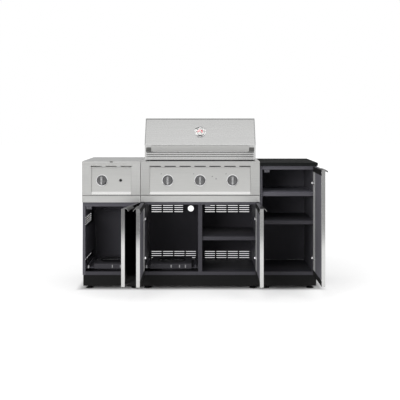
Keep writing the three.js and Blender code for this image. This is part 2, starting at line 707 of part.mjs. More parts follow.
function buildSideBurner() {
  const [x0, x1] = modules.left.x;
  const deckTop = headTop - lid.height;
  const knobX = leftCentre - knob.leftOffset;
  const pivot = [depth - lid.hingeFromBack, headTop - lid.height / 2];
  const earOuter = sheet + lidEar.gap;
  const lidPins = [];
  for (const [edge, side] of [[x0, 1], [x1, -1]]) {
    const xs = [edge + side * earOuter, edge + side * (earOuter + lidEar.thickness)].sort((a, b) => a - b);
    const pinEnds = [edge + side * seat, side > 0 ? xs[1] : xs[0]].sort((a, b) => a - b);
    lidPins.push(block(xs, span(pivot[0], lidEar.radius), [deckTop - sheet, pivot[1]]));
    lidPins.push(rod('x', lidEar.radius, pivot, xs, notch.sides));
    lidPins.push(rod('x', lid.pin, pivot, pinEnds));
  }
  const seam = block(
    widen([x0, x1], overcut),
    [-apron - overcut, -apron + sheet],
    [seamTop - fascia.seamHeight, seamTop],
  );
  const wellXs = span(leftCentre, well.half);
  const wellYs = [well.front, depth - well.fromBack];
  const wellFloor = deckTop - well.depth;
  const wellBox = cut(
    block(wellXs, wellYs, [wellFloor, deckTop]),
    block(widen(wellXs, -sheet), widen(wellYs, -sheet), [wellFloor + sheet, deckTop + overcut]),
  );
  const burnerAt = [leftCentre, (wellYs[0] + wellYs[1]) / 2];
  const neckHole = rod('z', burner.neck + seat, burnerAt, [wellFloor - overcut, wellFloor + sheet + overcut]);
  const rearRail = block([x0, x1], [depth - lid.rearRail, depth], [deckTop - sheet, headTop]);
  const shell = cut(
    headBox([x0, x1], deckTop, leftCentre, leftPanelWidth),
    block(wellXs, wellYs, [wellFloor, deckTop + overcut]),
    seam,
  );
  place('left_head_shell', cut(join(shell, wellBox, rearRail, lidPins), neckHole), stainless);
  place(
    'left_control_panel',
    controlPanel(leftCentre, leftPanelWidth, [knobX], leftCentre + igniter.offset),
    stainless,
  );

  const floor = wellFloor + sheet + seat;
  const valveBack = panelBack + seat + valve.bore;
  const ringTop = floor + burner.height;
  const capEnds = [ringTop - burner.height / 2, ringTop + burner.capHeight];
  const gasWay = join(
    valveAt(knobX),
    rod('y', burner.tube, [knobX, knobZ], [valveBack + valve.back / 2, burnerAt[1]]),
    rod('x', burner.tube, [burnerAt[1], knobZ], [knobX - burner.tube, leftCentre + burner.tube]),
    rod('z', burner.neck, burnerAt, [knobZ - burner.tube / 2, ringTop - burner.height / 2]),
    rod('z', burner.radius, burnerAt, [floor, ringTop], bezel.sides),
    rod('z', burner.capRadius, burnerAt, capEnds, bezel.sides),
  );
  place('side_burner', cut(gasWay, valveBore(knobX)), castIron);

  // The pan support is a square frame over the well, with a finger from the middle of each side
  const bar = panSupport.bar;
  const frameHalf = well.half + panSupport.overlap;
  const [middleX, middleY] = burnerAt;
  const zs = [deckTop + seat, deckTop + seat + bar];
  const frame = cut(
    block(span(middleX, frameHalf), span(middleY, frameHalf), zs),
    block(span(middleX, frameHalf - bar), span(middleY, frameHalf - bar), widen(zs, overcut)),
  );
  const fingers = [-1, 1].flatMap((side) => {
    const reach = [frameHalf - bar / 2, burner.capRadius + panSupport.fingerGap];
    return [
      block(reach.map((r) => middleX + side * r), span(middleY, bar / 2), zs),
      block(span(middleX, bar / 2), reach.map((r) => middleY + side * r), zs),
    ];
  });
  place('pan_support', join(frame, fingers), castIron);

  const lidLow = deckTop + lid.gap;
  const lidBack = pivot[0] + lid.tail;
  const hollowBack = lidBack + overcut;
  const notchAt = [leftCentre, -apron + notch.depth - notch.radius];
  const lidShell = cut(
    block([x0, x1], [-apron, lidBack], [lidLow, headTop]),
    block(widen([x0, x1], -sheet), [-apron + sheet, hollowBack], [lidLow - overcut, headTop - sheet]),
    block(widen([x0, x1], overcut), [pivot[0], hollowBack], [lidLow - overcut, headTop - sheet]),
    rod('z', notch.radius, notchAt, [headTop - notch.height, headTop + overcut], notch.sides),
  );
  const bosses = [[x0, x0 + sheet], [x1 - sheet, x1]].map((xs) => rod('x', lid.boss, pivot, xs, notch.sides));
  const pinHoles = rod('x', lid.pin + seat, pivot, widen([x0, x1], overcut));
  place('burner_lid', cut(join(lidShell, bosses), pinHoles), stainless);

  place('left_valve_stem', stemAt(knobX), chrome);
  place('left_knob', knobAt(knobX), chrome);
  const buttonAt = [leftCentre + igniter.offset, knobZ];
  const buttonBack = panelFace - igniter.ringFloor - seat - (igniter.cap + igniter.ringHeight) / 2;
  const plungerEnds = [buttonBack + igniter.length, buttonBack - igniter.cap / 2];
  place('igniter_button', join(
    rod('y', igniter.radius, buttonAt, [buttonBack, buttonBack - igniter.cap], igniter.sides),
    rod('y', igniter.plunger, buttonAt, plungerEnds, igniter.sides),
  ), blackPlastic);
}

// Outline moved inwards by a wall thickness; the points run with their inside on the left
function insetOutline(points, thickness) {
  return points.map((point, index) => {
    const before = points[(index + points.length - 1) % points.length];
    const after = points[(index + 1) % points.length];
    const a = new THREE.Vector2(point[0] - before[0], point[1] - before[1]).normalize();
    const b = new THREE.Vector2(after[0] - point[0], after[1] - point[1]).normalize();
    const normalA = new THREE.Vector2(-a.y, a.x);
    const normalB = new THREE.Vector2(-b.y, b.x);
    const scale = thickness / (1 + normalA.dot(normalB));
    return [point[0] + (normalA.x + normalB.x) * scale, point[1] + (normalA.y + normalB.y) * scale];
  });
}

function hoodOutline() {
  const ledges = [];
  for (let index = 0; index < hood.ledges; index += 1) {
    const z = hoodLip + index * hood.riser;
    ledges.push([hood.front + index * hood.step, z], [hood.front + (index + 1) * hood.step, z + hood.step]);
  }
  const back = depth - hood.fromBack;
  return [
    [back, hoodBottom + hood.backRise], [back, hoodFold - hood.backFoldDrop],
    [depth - hood.rearCrestFromBack, hoodTop - hood.rearCrestDrop], [depth - hood.topFromBack, hoodTop],
    [crest[0] + hood.crestRun, hoodTop], crest, [hoodFace, hoodFold],
    ...ledges.reverse(), [hood.front, hoodBottom],
  ];
}

function buildGrill() {
  const [x0, x1] = modules.middle.x;
  const c = middleCentre;
  const knobXs = [-1, 0, 1].map((side) => c + side * knobPitch);
  const fireboxHalf = middleWidth / 2 - firebox.side;
  const fireboxBack = depth - firebox.fromBack;
  const fireboxBottom = headTop - firebox.depth;
  const greaseHalf = middleWidth / 2 - grease.side;
  const greaseBottom = cabinetTop + grease.rise;

  const ears = [];
  const ledges = [];
  for (const side of [-1, 1]) {
    const outer = c + side * (hoodHalf - hood.sheet - slack);
    const xs = [outer, outer - side * hood.ear].sort((a, b) => a - b);
    const pinEnds = [outer - side * hood.ear, c + side * (hoodHalf - seat)].sort((a, b) => a - b);
    const post = [hoodPivot[0] - hood.postFront, hoodPivot[0] - hood.postBack];
    ears.push(block(xs, post, [headTop - sheet, hoodPivot[1]]));
    ears.push(rod('x', hood.earRadius, hoodPivot, xs));
    ears.push(rod('x', hood.pin, hoodPivot, pinEnds));
    ledges.push(block(
      [side < 0 ? x0 : x1, c + side * (greaseHalf - grease.ledge)],
      [-apron + sheet + slack, depth - sheet],
      [greaseBottom - seat - sheet, greaseBottom - seat],
    ));
  }
  const troughXs = span(c, fireboxHalf);
  const troughYs = [firebox.front, fireboxBack];
  const frontBay = block(
    widen([x0, x1], overcut),
    [-apron - overcut, -apron + sheet + seat],
    [cabinetTop - overcut, seamTop],
  );
  const cutout = block(widen(troughXs, seat), widen(troughYs, seat), span(headTop, overcut));
  const box = cut(headBox([x0, x1], headTop, c, middlePanelWidth), frontBay, cutout);
  place('grill_head_shell', join(box, ears, ledges), stainless);
  place('grill_control_panel', controlPanel(c, middlePanelWidth, knobXs), stainless);

  const t = firebox.sheet;
  const flangeLow = headTop + seat;
  const flangeTop = flangeLow + t;
  const ledgeTop = headTop - firebox.ledgeDrop;
  const hollow = block(widen(troughXs, -t), widen(troughYs, -t), [fireboxBottom + t, flangeTop + overcut]);
  const rim = block(widen(troughXs, firebox.flange), widen(troughYs, firebox.flange), [flangeLow, flangeTop]);
  const trough = cut(join(block(troughXs, troughYs, [fireboxBottom, flangeTop]), rim), hollow);
  const rests = [
    [firebox.front, firebox.front + t + firebox.ledge],
    [fireboxBack - t - firebox.ledge, fireboxBack],
  ].map((ys) => block(troughXs, ys, [ledgeTop - t, ledgeTop]));
  const tubeHoles = knobXs.map((x) => rod(
    'y', grillBurner.radius + seat, [x, knobZ],
    [firebox.front - overcut, firebox.front + t + overcut], grillBurner.sides,
  ));
  const drain = rod(
    'z', firebox.drain, [c, (firebox.front + fireboxBack) / 2],
    [fireboxBottom - overcut, fireboxBottom + t + overcut], hoseHole.sides,
  );
  place('firebox', cut(join(trough, rests), tubeHoles, drain), enamel);

  const burners = knobXs.flatMap((x) => [
    valveAt(x),
    rod('y', grillBurner.radius, [x, knobZ],
      [panelBack + seat + valve.bore + valve.back / 2, fireboxBack - grillBurner.endGap], grillBurner.sides),
  ]);
  const railAt = [panelBack + valve.bore / 2, knobZ - valve.railDrop];
  const manifold = rod('x', valve.railRadius, railAt, span(c, knobPitch + valve.railEnd));
  place('grill_burners', cut(join(burners, manifold), knobXs.map(valveBore)), stainless);

  const grateXs = widen(troughXs, -t - slack);
  const grateYs = widen(troughYs, -t - slack);
  const grateLow = ledgeTop + seat;
  const pitch = (grateXs[1] - grateXs[0] - grate.bar) / (grate.bars - 1);
  const bars = [];
  for (let index = 0; index < grate.bars; index += 1) {
    const x = grateXs[0] + index * pitch;
    bars.push(block([x, x + grate.bar], grateYs, [grateLow, grateLow + grate.height]));
  }
  for (let index = 0; index < grate.cross; index += 1) {
    const y = grateYs[0] + (index / (grate.cross - 1)) * (grateYs[1] - grateYs[0] - grate.bar);
    bars.push(block(grateXs, [y, y + grate.bar], [grateLow, grateLow + grate.height / 2]));
  }
  place('cooking_grate', join(bars), castIron);

  const greaseXs = span(c, greaseHalf);
  const greaseBack = depth - grease.fromBack;
  const greaseTop = greaseBottom + grease.height;
  const greaseBox = cut(
    block(greaseXs, [-apron, greaseBack], [greaseBottom, greaseTop]),
    block(
      widen(greaseXs, -grease.sheet),
      [-apron + sheet, greaseBack - grease.sheet],
      [greaseBottom + grease.sheet, greaseTop + overcut],
    ),
  );
  const greaseFront = block(
    widen([x0, x1], -seat),
    [-apron, -apron + sheet],
    [cabinetTop + grease.frontRise, seamTop - fascia.seamHeight],
  );
  place('grease_tray', join(greaseBox, greaseFront), stainless);

  knobXs.forEach((x, index) => {
    place(`valve_stem_${index + 1}`, stemAt(x), chrome);
    place(`knob_${index + 1}`, knobAt(x), chrome);
  });

  const outline = hoodOutline();
  const openBelow = ([y, z]) => [y, z < hoodLip - hood.step ? hoodBottom - overcut : z];
  const innerOutline = insetOutline(outline, hood.sheet).map(openBelow);
  const hoodShell = cut(
    prism('x', outline, span(c, hoodHalf)),
    prism('x', innerOutline, span(c, hoodHalf - hood.sheet)),
  );
  const slope = new THREE.Vector2(hood.slopeRun, hood.slopeRise).normalize();
  const gaugeY = hoodFace + gauge.rise * slope.x / slope.y;
  const lean = Math.atan2(slope.y, slope.x);
  const tilt = [THREE.MathUtils.radToDeg(lean), 0, 0];
  const onSlope = (solid) => solid.rotate(tilt).translate([c, gaugeY, hoodFold + gauge.rise]);
  const probeHole = onSlope(rod('z', gauge.probe + seat, [0, 0], [-hood.sheet * 4, hood.sheet * 4]));
  const holes = rod('x', hood.pin + seat, hoodPivot, span(c, hoodHalf + overcut));
  const rearGap = block(
    span(c, hoodHalf - hood.sheet),
    span(depth - hood.fromBack, hood.sheet + overcut),
    [hoodBottom + hood.backRise - overcut, hoodPivot[1] + hood.rearGap],
  );
  place('hood', cut(hoodShell, holes, probeHole, rearGap), stainless);

  const dialRecess = [gauge.height - gauge.dialDepth, gauge.height + overcut];
  const gaugeBody = cut(
    rod('z', gauge.radius, [0, 0], [seat, gauge.height], gauge.sides),
    rod('z', gauge.radius - gauge.rim, [0, 0], dialRecess, gauge.sides),
  );
  const probe = rod('z', gauge.probe, [0, 0], [-gauge.probeLength, gauge.height / 2]);
  place('temperature_gauge', onSlope(join(gaugeBody, probe)), chrome);

  const plateBack = hoodFace - handle.standoff;
  const plateInner = plateBack + handle.sheet;
  const foldEnd = plateBack + handle.fold;
  const barTop = hoodFold - handle.drop;
  const barBottom = barTop - handle.height;
  const barHalf = hoodHalf - handle.inset;
  const barOutline = [
    [plateBack, barBottom], [foldEnd, barBottom], [foldEnd, barBottom + handle.sheet],
    [plateInner, barBottom + handle.sheet], [plateInner, barTop - handle.sheet],
    [foldEnd, barTop - handle.sheet], [foldEnd, barTop], [plateBack, barTop],
  ];
  const brackets = [-1, 1].map((side) => block(
    [c + side * (barHalf - handle.bracketLap), c + side * (hoodHalf - handle.bracketInset)],
    [plateBack + handle.bracketFront, hoodFace - seat],
    [barBottom - handle.bracketBelow, barTop - handle.bracketDrop],
  ));
  place('hood_handle', join(prism('x', barOutline, span(c, barHalf)), brackets), stainless);
}

buildLeftCabinet();
buildMiddleCabinet();
buildRightCabinet();
buildSideBurner();
buildGrill();

// The four doors stand open, as the island is shown
const leafWidth = (width) => width - 2 * door.reveal;
hangDoor('left_door', modules.left.x[1], -1, leafWidth(leftWidth), doorTop, door.leftOpen);
const halfLeaf = middleWidth / 2 - door.reveal - door.meeting / 2;
hangDoor('middle_door_left', modules.middle.x[0], 1, halfLeaf, doorTop, door.open);
hangDoor('middle_door_right', modules.middle.x[1], -1, halfLeaf, doorTop, door.open);
hangDoor('right_door', modules.right.x[1], -1, leafWidth(rightWidth), tallDoorTop, door.open);

// The origin is under the middle of the whole island, doors included, at the floor
island.updateMatrixWorld(true);
const extent = new THREE.Box3().setFromObject(island, true);
const centre = extent.getCenter(new THREE.Vector3());
island.position.set(-centre.x, -centre.y, -extent.min.z);

export default island;
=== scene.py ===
import bpy
import bmesh
import json
import math
from mathutils import Matrix, Vector


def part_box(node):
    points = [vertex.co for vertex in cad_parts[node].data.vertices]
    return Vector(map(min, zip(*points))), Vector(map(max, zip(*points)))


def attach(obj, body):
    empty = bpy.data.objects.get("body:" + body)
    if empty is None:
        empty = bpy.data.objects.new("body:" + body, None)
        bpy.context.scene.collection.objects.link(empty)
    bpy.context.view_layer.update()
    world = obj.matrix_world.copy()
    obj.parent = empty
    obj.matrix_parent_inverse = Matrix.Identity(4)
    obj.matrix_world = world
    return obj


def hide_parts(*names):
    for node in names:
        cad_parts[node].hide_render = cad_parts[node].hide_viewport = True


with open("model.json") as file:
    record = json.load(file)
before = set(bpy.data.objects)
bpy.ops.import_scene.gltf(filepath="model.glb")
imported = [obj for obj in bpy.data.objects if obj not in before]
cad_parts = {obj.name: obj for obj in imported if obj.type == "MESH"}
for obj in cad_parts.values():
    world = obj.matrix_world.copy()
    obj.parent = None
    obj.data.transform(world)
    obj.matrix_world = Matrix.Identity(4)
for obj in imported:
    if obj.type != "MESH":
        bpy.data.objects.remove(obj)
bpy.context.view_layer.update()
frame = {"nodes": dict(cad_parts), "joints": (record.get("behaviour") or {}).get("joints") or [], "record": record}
scene = bpy.context.scene
nodes = frame["nodes"]
joints = {joint["name"]: joint for joint in frame["joints"]}
bodyOf = {node: body for body, group in frame["record"]["behaviour"]["bodies"].items() for node in group}
slotOf = {row["node"]: row["material_slot"] for row in frame["record"]["subparts"]}
modules = ("left", "middle", "right")
doors = ("left_door", "middle_door_left", "middle_door_right", "right_door")
mainBody = "cabinets"

# Node helpers, shared by shaders and Geometry Nodes


def feed(tree, socket, value):
    if isinstance(value, bpy.types.NodeSocket):
        tree.links.new(value, socket)
    elif value is not None:
        socket.default_value = value


def addNode(tree, kind, **values):
    node = tree.nodes.new(kind)
    for label, value in values.items():
        feed(tree, node.inputs[label.replace("_", " ")], value)
    return node


def mathNode(tree, operation, first, second=None, third=None):
    node = tree.nodes.new("ShaderNodeMath")
    node.operation = operation
    for socket, value in zip(node.inputs, (first, second, third)):
        feed(tree, socket, value)
    return node.outputs[0]


def product(tree, first, second):
    return mathNode(tree, "MULTIPLY", first, second)


def without(tree, mask):
    return mathNode(tree, "SUBTRACT", 1.0, mask)


def spread(tree, value, low, high, newLow=0.0, newHigh=1.0):
    ends = {"From_Min": low, "From_Max": high, "To_Min": newLow, "To_Max": newHigh}
    return addNode(tree, "ShaderNodeMapRange", Value=value, **ends).outputs["Result"]


def mixShaders(tree, mask, first, second):
    mix = tree.nodes.new("ShaderNodeMixShader")
    for socket, value in zip(mix.inputs, (mask, first, second)):
        tree.links.new(value, socket)
    return mix.outputs[0]


# Camera, floor and light

cameraSettings = {
    "place": (0.01475, -5.8005, 1.2515),  # level, looking along +Y
    "lens": 70.4,
    "shiftX": -0.0075,
    "shiftY": -0.205,  # keeps the uprights parallel
}


def makeCamera(settings):
    data = bpy.data.cameras.new("camera")
    data.lens = settings["lens"]
    data.sensor_width = 36
    data.shift_x = settings["shiftX"]
    data.shift_y = settings["shiftY"]
    camera = bpy.data.objects.new("camera", data)
    camera.location = settings["place"]
    camera.rotation_euler = (math.radians(90), 0, 0)
    scene.collection.objects.link(camera)
    scene.camera = camera


stageSettings = {
    "floorSize": 60,
    "floorBounce": 0.8,  # what the floor throws back on the object
    "floorShade": 0.8,  # how strongly its shadow shows near the object
    "farShade": 0.3,
    "glowNear": 0.46,
    "glowFar": 1.0,
    "glowStart": 0.9,  # distance from the middle where the floor starts to fade to white
    "glowEnd": 3.4,
    "footprint": (0.88, 0.28, 0.2),  # half width, half depth and middle of the cabinets on the floor
    "contact": (-0.01, 0.04),  # painted contact shadow: no glow under the cabinets
    "bandNear": (-2.8, -3.6),  # a darker stretch of floor that the door edges mirror
    "bandFar": (-6.6, -7.6),
    "bandSide": (1.7, 1.3),  # it has no far end right of this
    "bandTurn": (-0.9, 0.9),
    "bandDepth": (0.86, 0.58),  # left and right
    "sky": 0.5,
    "flags": (  # grey cards that only reflections see: low and high corner, tone
        {"name": "overhead", "low": (-4.5, -0.3, 3.4), "high": (4.5, 3.5, 3.4), "tone": 0.42},
        {"name": "behind", "low": (-9, 6.5, 0.0), "high": (9, 6.5, 3.0), "tone": 0.6},
    ),
    "lamps": (
        {"name": "key", "place": (-1.7, -4.4, 5.0), "size": (3.0, 3.0), "power": 56, "mirrored": False},
        {"name": "front", "place": (-2.2, -4.8, 1.35), "size": (2.6, 1.4), "power": 125, "mirrored": False},
        {"name": "fill", "place": (3.6, -3.4, 2.4), "size": (2.4, 2.4), "power": 56, "mirrored": False},
        {"name": "strip", "place": (0.0, -4.7, 5.5), "size": (7.0, 1.3), "power": 20, "mirrored": True},
    ),
    "target": (0, 0, 0.6),
}


def seenMask(tree):
    path = tree.nodes.new("ShaderNodeLightPath").outputs
    mirrored = mathNode(tree, "MAXIMUM", path["Is Glossy Ray"], path["Is Transmission Ray"])
    return mathNode(tree, "MAXIMUM", path["Is Camera Ray"], mirrored)


def floorPattern(tree, settings):
    place = tree.nodes.new("ShaderNodeTexCoord").outputs["Object"]
    split = addNode(tree, "ShaderNodeSeparateXYZ", Vector=place)
    across, along = split.outputs["X"], split.outputs["Y"]
    away = tree.nodes.new("ShaderNodeVectorMath")
    away.operation = "LENGTH"
    tree.links.new(place, away.inputs[0])
    far = spread(tree, away.outputs["Value"], settings["glowStart"], settings["glowEnd"])
    width, depth, middle = settings["footprint"]
    beside = mathNode(tree, "SUBTRACT", mathNode(tree, "ABSOLUTE", across), width)
    before = mathNode(tree, "ABSOLUTE", mathNode(tree, "SUBTRACT", along, middle))
    outside = mathNode(tree, "MAXIMUM", beside, mathNode(tree, "SUBTRACT", before, depth))
    # painted contact shadow: the floor's glow fades out under the cabinets
    clear = spread(tree, outside, *settings["contact"])
    farEnd = spread(tree, along, *settings["bandFar"])
    beyond = product(tree, farEnd, spread(tree, across, *settings["bandSide"]))
    band = product(tree, spread(tree, along, *settings["bandNear"]), without(tree, beyond))
    band = product(tree, band, spread(tree, across, *settings["bandTurn"], *settings["bandDepth"]))
    mirrored = tree.nodes.new("ShaderNodeLightPath").outputs["Is Glossy Ray"]
    kept = without(tree, product(tree, band, mirrored))
    glow = spread(tree, far, 0, 1, settings["glowNear"], settings["glowFar"])
    shade = spread(tree, far, 0, 1, settings["floorShade"], settings["farShade"])
    return product(tree, product(tree, glow, clear), kept), product(tree, shade, kept)


def makeFloor(settings):
    half = settings["floorSize"] / 2
    corners = [(-half, -half, 0), (half, -half, 0), (half, half, 0), (-half, half, 0)]
    mesh = bpy.data.meshes.new("floor")
    mesh.from_pydata(corners, [], [(0, 1, 2, 3)])
    floor = bpy.data.objects.new("floor", mesh)
    scene.collection.objects.link(floor)
    material = bpy.data.materials.new("paleFloor")
    material.use_nodes = True
    tree = material.node_tree
    tree.nodes.clear()
    strength, shade = floorPattern(tree, settings)
    grey = addNode(tree, "ShaderNodeCombineColor", Red=shade, Green=shade, Blue=shade)
    shown = addNode(tree, "ShaderNodeBsdfDiffuse", Color=grey.outputs[0])
    glow = addNode(tree, "ShaderNodeEmission", Strength=strength)
    bounce = addNode(tree, "ShaderNodeBsdfDiffuse", Color=(settings["floorBounce"],) * 3 + (1,))
    bright = tree.nodes.new("ShaderNodeAddShader")
    tree.links.new(shown.outputs[0], bright.inputs[0])
    tree.links.new(glow.outputs[0], bright.inputs[1])
    mix = mixShaders(tree, seenMask(tree), bounce.outputs[0], bright.outputs[0])
    addNode(tree, "ShaderNodeOutputMaterial", Surface=mix)
    mesh.materials.append(material)


def makeFlag(flag):
    low, high = flag["low"], flag["high"]
    flat = high[2] == low[2]
    corners = [low, (high[0], low[1], low[2]), high, (low[0], high[1], high[2])]
    mesh = bpy.data.meshes.new(flag["name"])
    mesh.from_pydata(corners, [], [(0, 1, 2, 3)] if flat else [(3, 2, 1, 0)])
    card = bpy.data.objects.new(flag["name"], mesh)
    scene.collection.objects.link(card)
    material = bpy.data.materials.new(flag["name"] + "Card")
    material.use_nodes = True
    shader = material.node_tree.nodes["Principled BSDF"]
    shader.inputs["Base Color"].default_value = (0, 0, 0, 1)
    shader.inputs["Emission Color"].default_value = (1, 1, 1, 1)
    shader.inputs["Emission Strength"].default_value = flag["tone"]
    mesh.materials.append(material)
    card.visible_camera = False
    card.visible_diffuse = False
    card.visible_transmission = False
    card.visible_shadow = False


def makeSky(settings):
    world = bpy.data.worlds.new("studio")
    scene.world = world
    world.use_nodes = True
    tree = world.node_tree
    tree.nodes.clear()
    ambient = addNode(tree, "ShaderNodeBackground", Color=(1, 1, 1, 1), Strength=settings["sky"])
    shown = addNode(tree, "ShaderNodeBackground", Color=(1, 1, 1, 1))
    mix = mixShaders(tree, seenMask(tree), ambient.outputs[0], shown.outputs[0])
    addNode(tree, "ShaderNodeOutputWorld", Surface=mix)


def makeLamps(settings):
    for lamp in settings["lamps"]:
        data = bpy.data.lights.new(lamp["name"], "AREA")
        data.shape = "RECTANGLE"
        data.size, data.size_y = lamp["size"]
        data.energy = lamp["power"]
        holder = bpy.data.objects.new(lamp["name"], data)
        holder.location = lamp["place"]
        holder.visible_glossy = lamp["mirrored"]  # only the strip shows in the metal
        aim = Vector(settings["target"]) - Vector(lamp["place"])
        holder.rotation_euler = aim.to_track_quat("-Z", "Y").to_euler()
        scene.collection.objects.link(holder)


makeCamera(cameraSettings)
makeFloor(stageSettings)
for card in stageSettings["flags"]:
    makeFlag(card)
makeSky(stageSettings)
makeLamps(stageSettings)
scene.view_settings.view_transform = "Standard"
print("camera, floor and light: done")

# Shader groups


def shaderGroup(name, inputs, outputs):
    tree = bpy.data.node_groups.new(name, "ShaderNodeTree")
    kind = "NodeSocketFloat"
    for label, value in inputs:
        tree.interface.new_socket(label, in_out="INPUT", socket_type=kind).default_value = value
    for label in outputs:
        tree.interface.new_socket(label, in_out="OUTPUT", socket_type=kind)
    given = tree.nodes.new("NodeGroupInput").outputs
    return tree, given, tree.nodes.new("NodeGroupOutput").inputs


def noiseAt(tree, vector, detail=3.0, roughness=0.55, scale=1.0):
    values = {"Vector": vector, "Detail": detail, "Roughness": roughness, "Scale": scale}
    return addNode(tree, "ShaderNodeTexNoise", **values).outputs["Fac"]


def stretched(tree, axis, along, fine):
    place = tree.nodes.new("ShaderNodeTexCoord")
    sizes = {label: along if index == axis else fine for index, label in enumerate("XYZ")}
    scaled = tree.nodes.new("ShaderNodeVectorMath")
    scaled.operation = "MULTIPLY"
    tree.links.new(place.outputs["Object"], scaled.inputs[0])
    tree.links.new(addNode(tree, "ShaderNodeCombineXYZ", **sizes).outputs[0], scaled.inputs[1])
    return scaled.outputs[0]


def makeBrushLines():
    inputs = (("Fineness", 900.0), ("Stretch", 60.0))
    tree, given, result = shaderGroup("brushLines", inputs, ("Tone", "Height"))
    fine = given["Fineness"]
    along = mathNode(tree, "DIVIDE", fine, given["Stretch"])
    place = tree.nodes.new("ShaderNodeTexCoord")
    split = addNode(tree, "ShaderNodeSeparateXYZ", Vector=place.outputs["Normal"])
    sideways = spread(tree, mathNode(tree, "ABSOLUTE", split.outputs["X"]), 0.6, 0.8)
    lines = []
    for axis in (0, 1):  # along X on fronts and tops, along Y on the sides
        thin = noiseAt(tree, stretched(tree, axis, along, fine), 2.0)
        longer, coarser = product(tree, along, 0.2), product(tree, fine, 0.12)
        broad = noiseAt(tree, stretched(tree, axis, longer, coarser), 2.0)
        lines.append(mathNode(tree, "MULTIPLY_ADD", broad, 0.4, product(tree, thin, 0.6)))
    front = product(tree, lines[0], without(tree, sideways))
    tone = mathNode(tree, "MULTIPLY_ADD", lines[1], sideways, front)
    tree.links.new(spread(tree, tone, 0.3, 0.7), result["Tone"])
    tree.links.new(tone, result["Height"])
    return tree


def makePowderGrain():
    tree, given, result = shaderGroup("powderGrain", (("Fineness", 700.0),), ("Tone", "Height"))
    place = tree.nodes.new("ShaderNodeTexCoord").outputs["Object"]
    peel = noiseAt(tree, place, 2.0, 0.5, given["Fineness"])
    finer = product(tree, given["Fineness"], 1.7)
    cells = addNode(tree, "ShaderNodeTexVoronoi", Vector=place, Scale=finer)
    tree.links.new(spread(tree, peel, 0.3, 0.7), result["Tone"])
    tree.links.new(mathNode(tree, "MULTIPLY_ADD", cells.outputs["Distance"], 0.35, peel), result["Height"])
    return tree


def makeMottle():
    tree, given, result = shaderGroup("mottle", (("Fineness", 6.0),), ("Tone",))
    place = tree.nodes.new("ShaderNodeTexCoord").outputs["Object"]
    cloud = noiseAt(tree, place, 4.0, 0.6, given["Fineness"])
    tree.links.new(spread(tree, cloud, 0.35, 0.65), result["Tone"])
    return tree


def makeSettledDust():
    tree, given, result = shaderGroup("settledDust", (("Amount", 0.5),), ("Mask",))
    place = tree.nodes.new("ShaderNodeTexCoord")
    split = addNode(tree, "ShaderNodeSeparateXYZ", Vector=place.outputs["Normal"])
    flat = spread(tree, split.outputs["Z"], 0.7, 0.98)  # dust lies on what faces up
    drift = spread(tree, noiseAt(tree, place.outputs["Object"], 5.0, 0.65, 9.0), 0.42, 0.8)
    grains = spread(tree, noiseAt(tree, place.outputs["Object"], 2.0, 0.6, 1400.0), 0.45, 0.75)
    mask = product(tree, flat, product(tree, drift, grains))
    tree.links.new(product(tree, mask, given["Amount"]), result["Mask"])
    return tree


groups = {
    "brushLines": makeBrushLines(),
    "powderGrain": makePowderGrain(),
    "mottle": makeMottle(),
    "settledDust": makeSettledDust(),
}


def useGroup(tree, name, **values):
    node = tree.nodes.new("ShaderNodeGroup")
    node.node_tree = groups[name]
    for label, value in values.items():
        node.inputs[label].default_value = value
    return node.outputs


# Materials


def linearTone(value):
    share = value / 255
    return share / 12.92 if share <= 0.04045 else ((share + 0.055) / 1.055) ** 2.4


def tint(red, green, blue, gain=1.0):
    return tuple(min(1.0, linearTone(value) * gain) for value in (red, green, blue)) + (1,)


def blend(tree, mask, first, second):
    node = tree.nodes.new("ShaderNodeMix")
    node.data_type = "RGBA"
    for index, value in ((0, mask), (6, first), (7, second)):  # factor and the two colour sockets
        feed(tree, node.inputs[index], value)
    return node.outputs[2]


def principled(name, **values):
    material = bpy.data.materials.new(name)
    material.use_nodes = True
    shader = material.node_tree.nodes["Principled BSDF"]
    for label, value in values.items():
        shader.inputs[label.replace("_", " ")].default_value = value
    return material, material.node_tree, shader


def coatWith(tree, shader, colour, rough, height=None, relief=0.0):
    tree.links.new(colour, shader.inputs["Base Color"])
    tree.links.new(rough, shader.inputs["Roughness"])
    if height:
        bump = addNode(tree, "ShaderNodeBump", Distance=relief, Strength=1.0, Height=height)
        tree.links.new(bump.outputs["Normal"], shader.inputs["Normal"])


def brushedMetal(name, shade, roughness=0.3, fineness=900.0, contrast=0.05):
    material, tree, shader = principled(name, Metallic=1.0)
    lines = useGroup(tree, "brushLines", Fineness=fineness)
    smudge = useGroup(tree, "mottle", Fineness=7.0)
    colour = blend(tree, lines["Tone"], tint(*shade, gain=1 - contrast), tint(*shade, gain=1 + contrast))
    rough = spread(tree, smudge["Tone"], 0.0, 1.0, roughness - 0.015, roughness + 0.02)
    rough = mathNode(tree, "MULTIPLY_ADD", lines["Tone"], 0.05, rough)
    coatWith(tree, shader, colour, rough, lines["Height"], 0.00001)
    return material


def satinMetal(name, shade, metallic, roughness):
    material, tree, shader = principled(name, Metallic=metallic)
    lines = useGroup(tree, "brushLines", Fineness=900.0)
    colour = blend(tree, lines["Tone"], tint(*shade, gain=0.94), tint(*shade))
    rough = spread(tree, lines["Tone"], 0.0, 1.0, roughness - 0.03, roughness + 0.03)
    coatWith(tree, shader, colour, rough, lines["Height"], 0.00003)
    return material


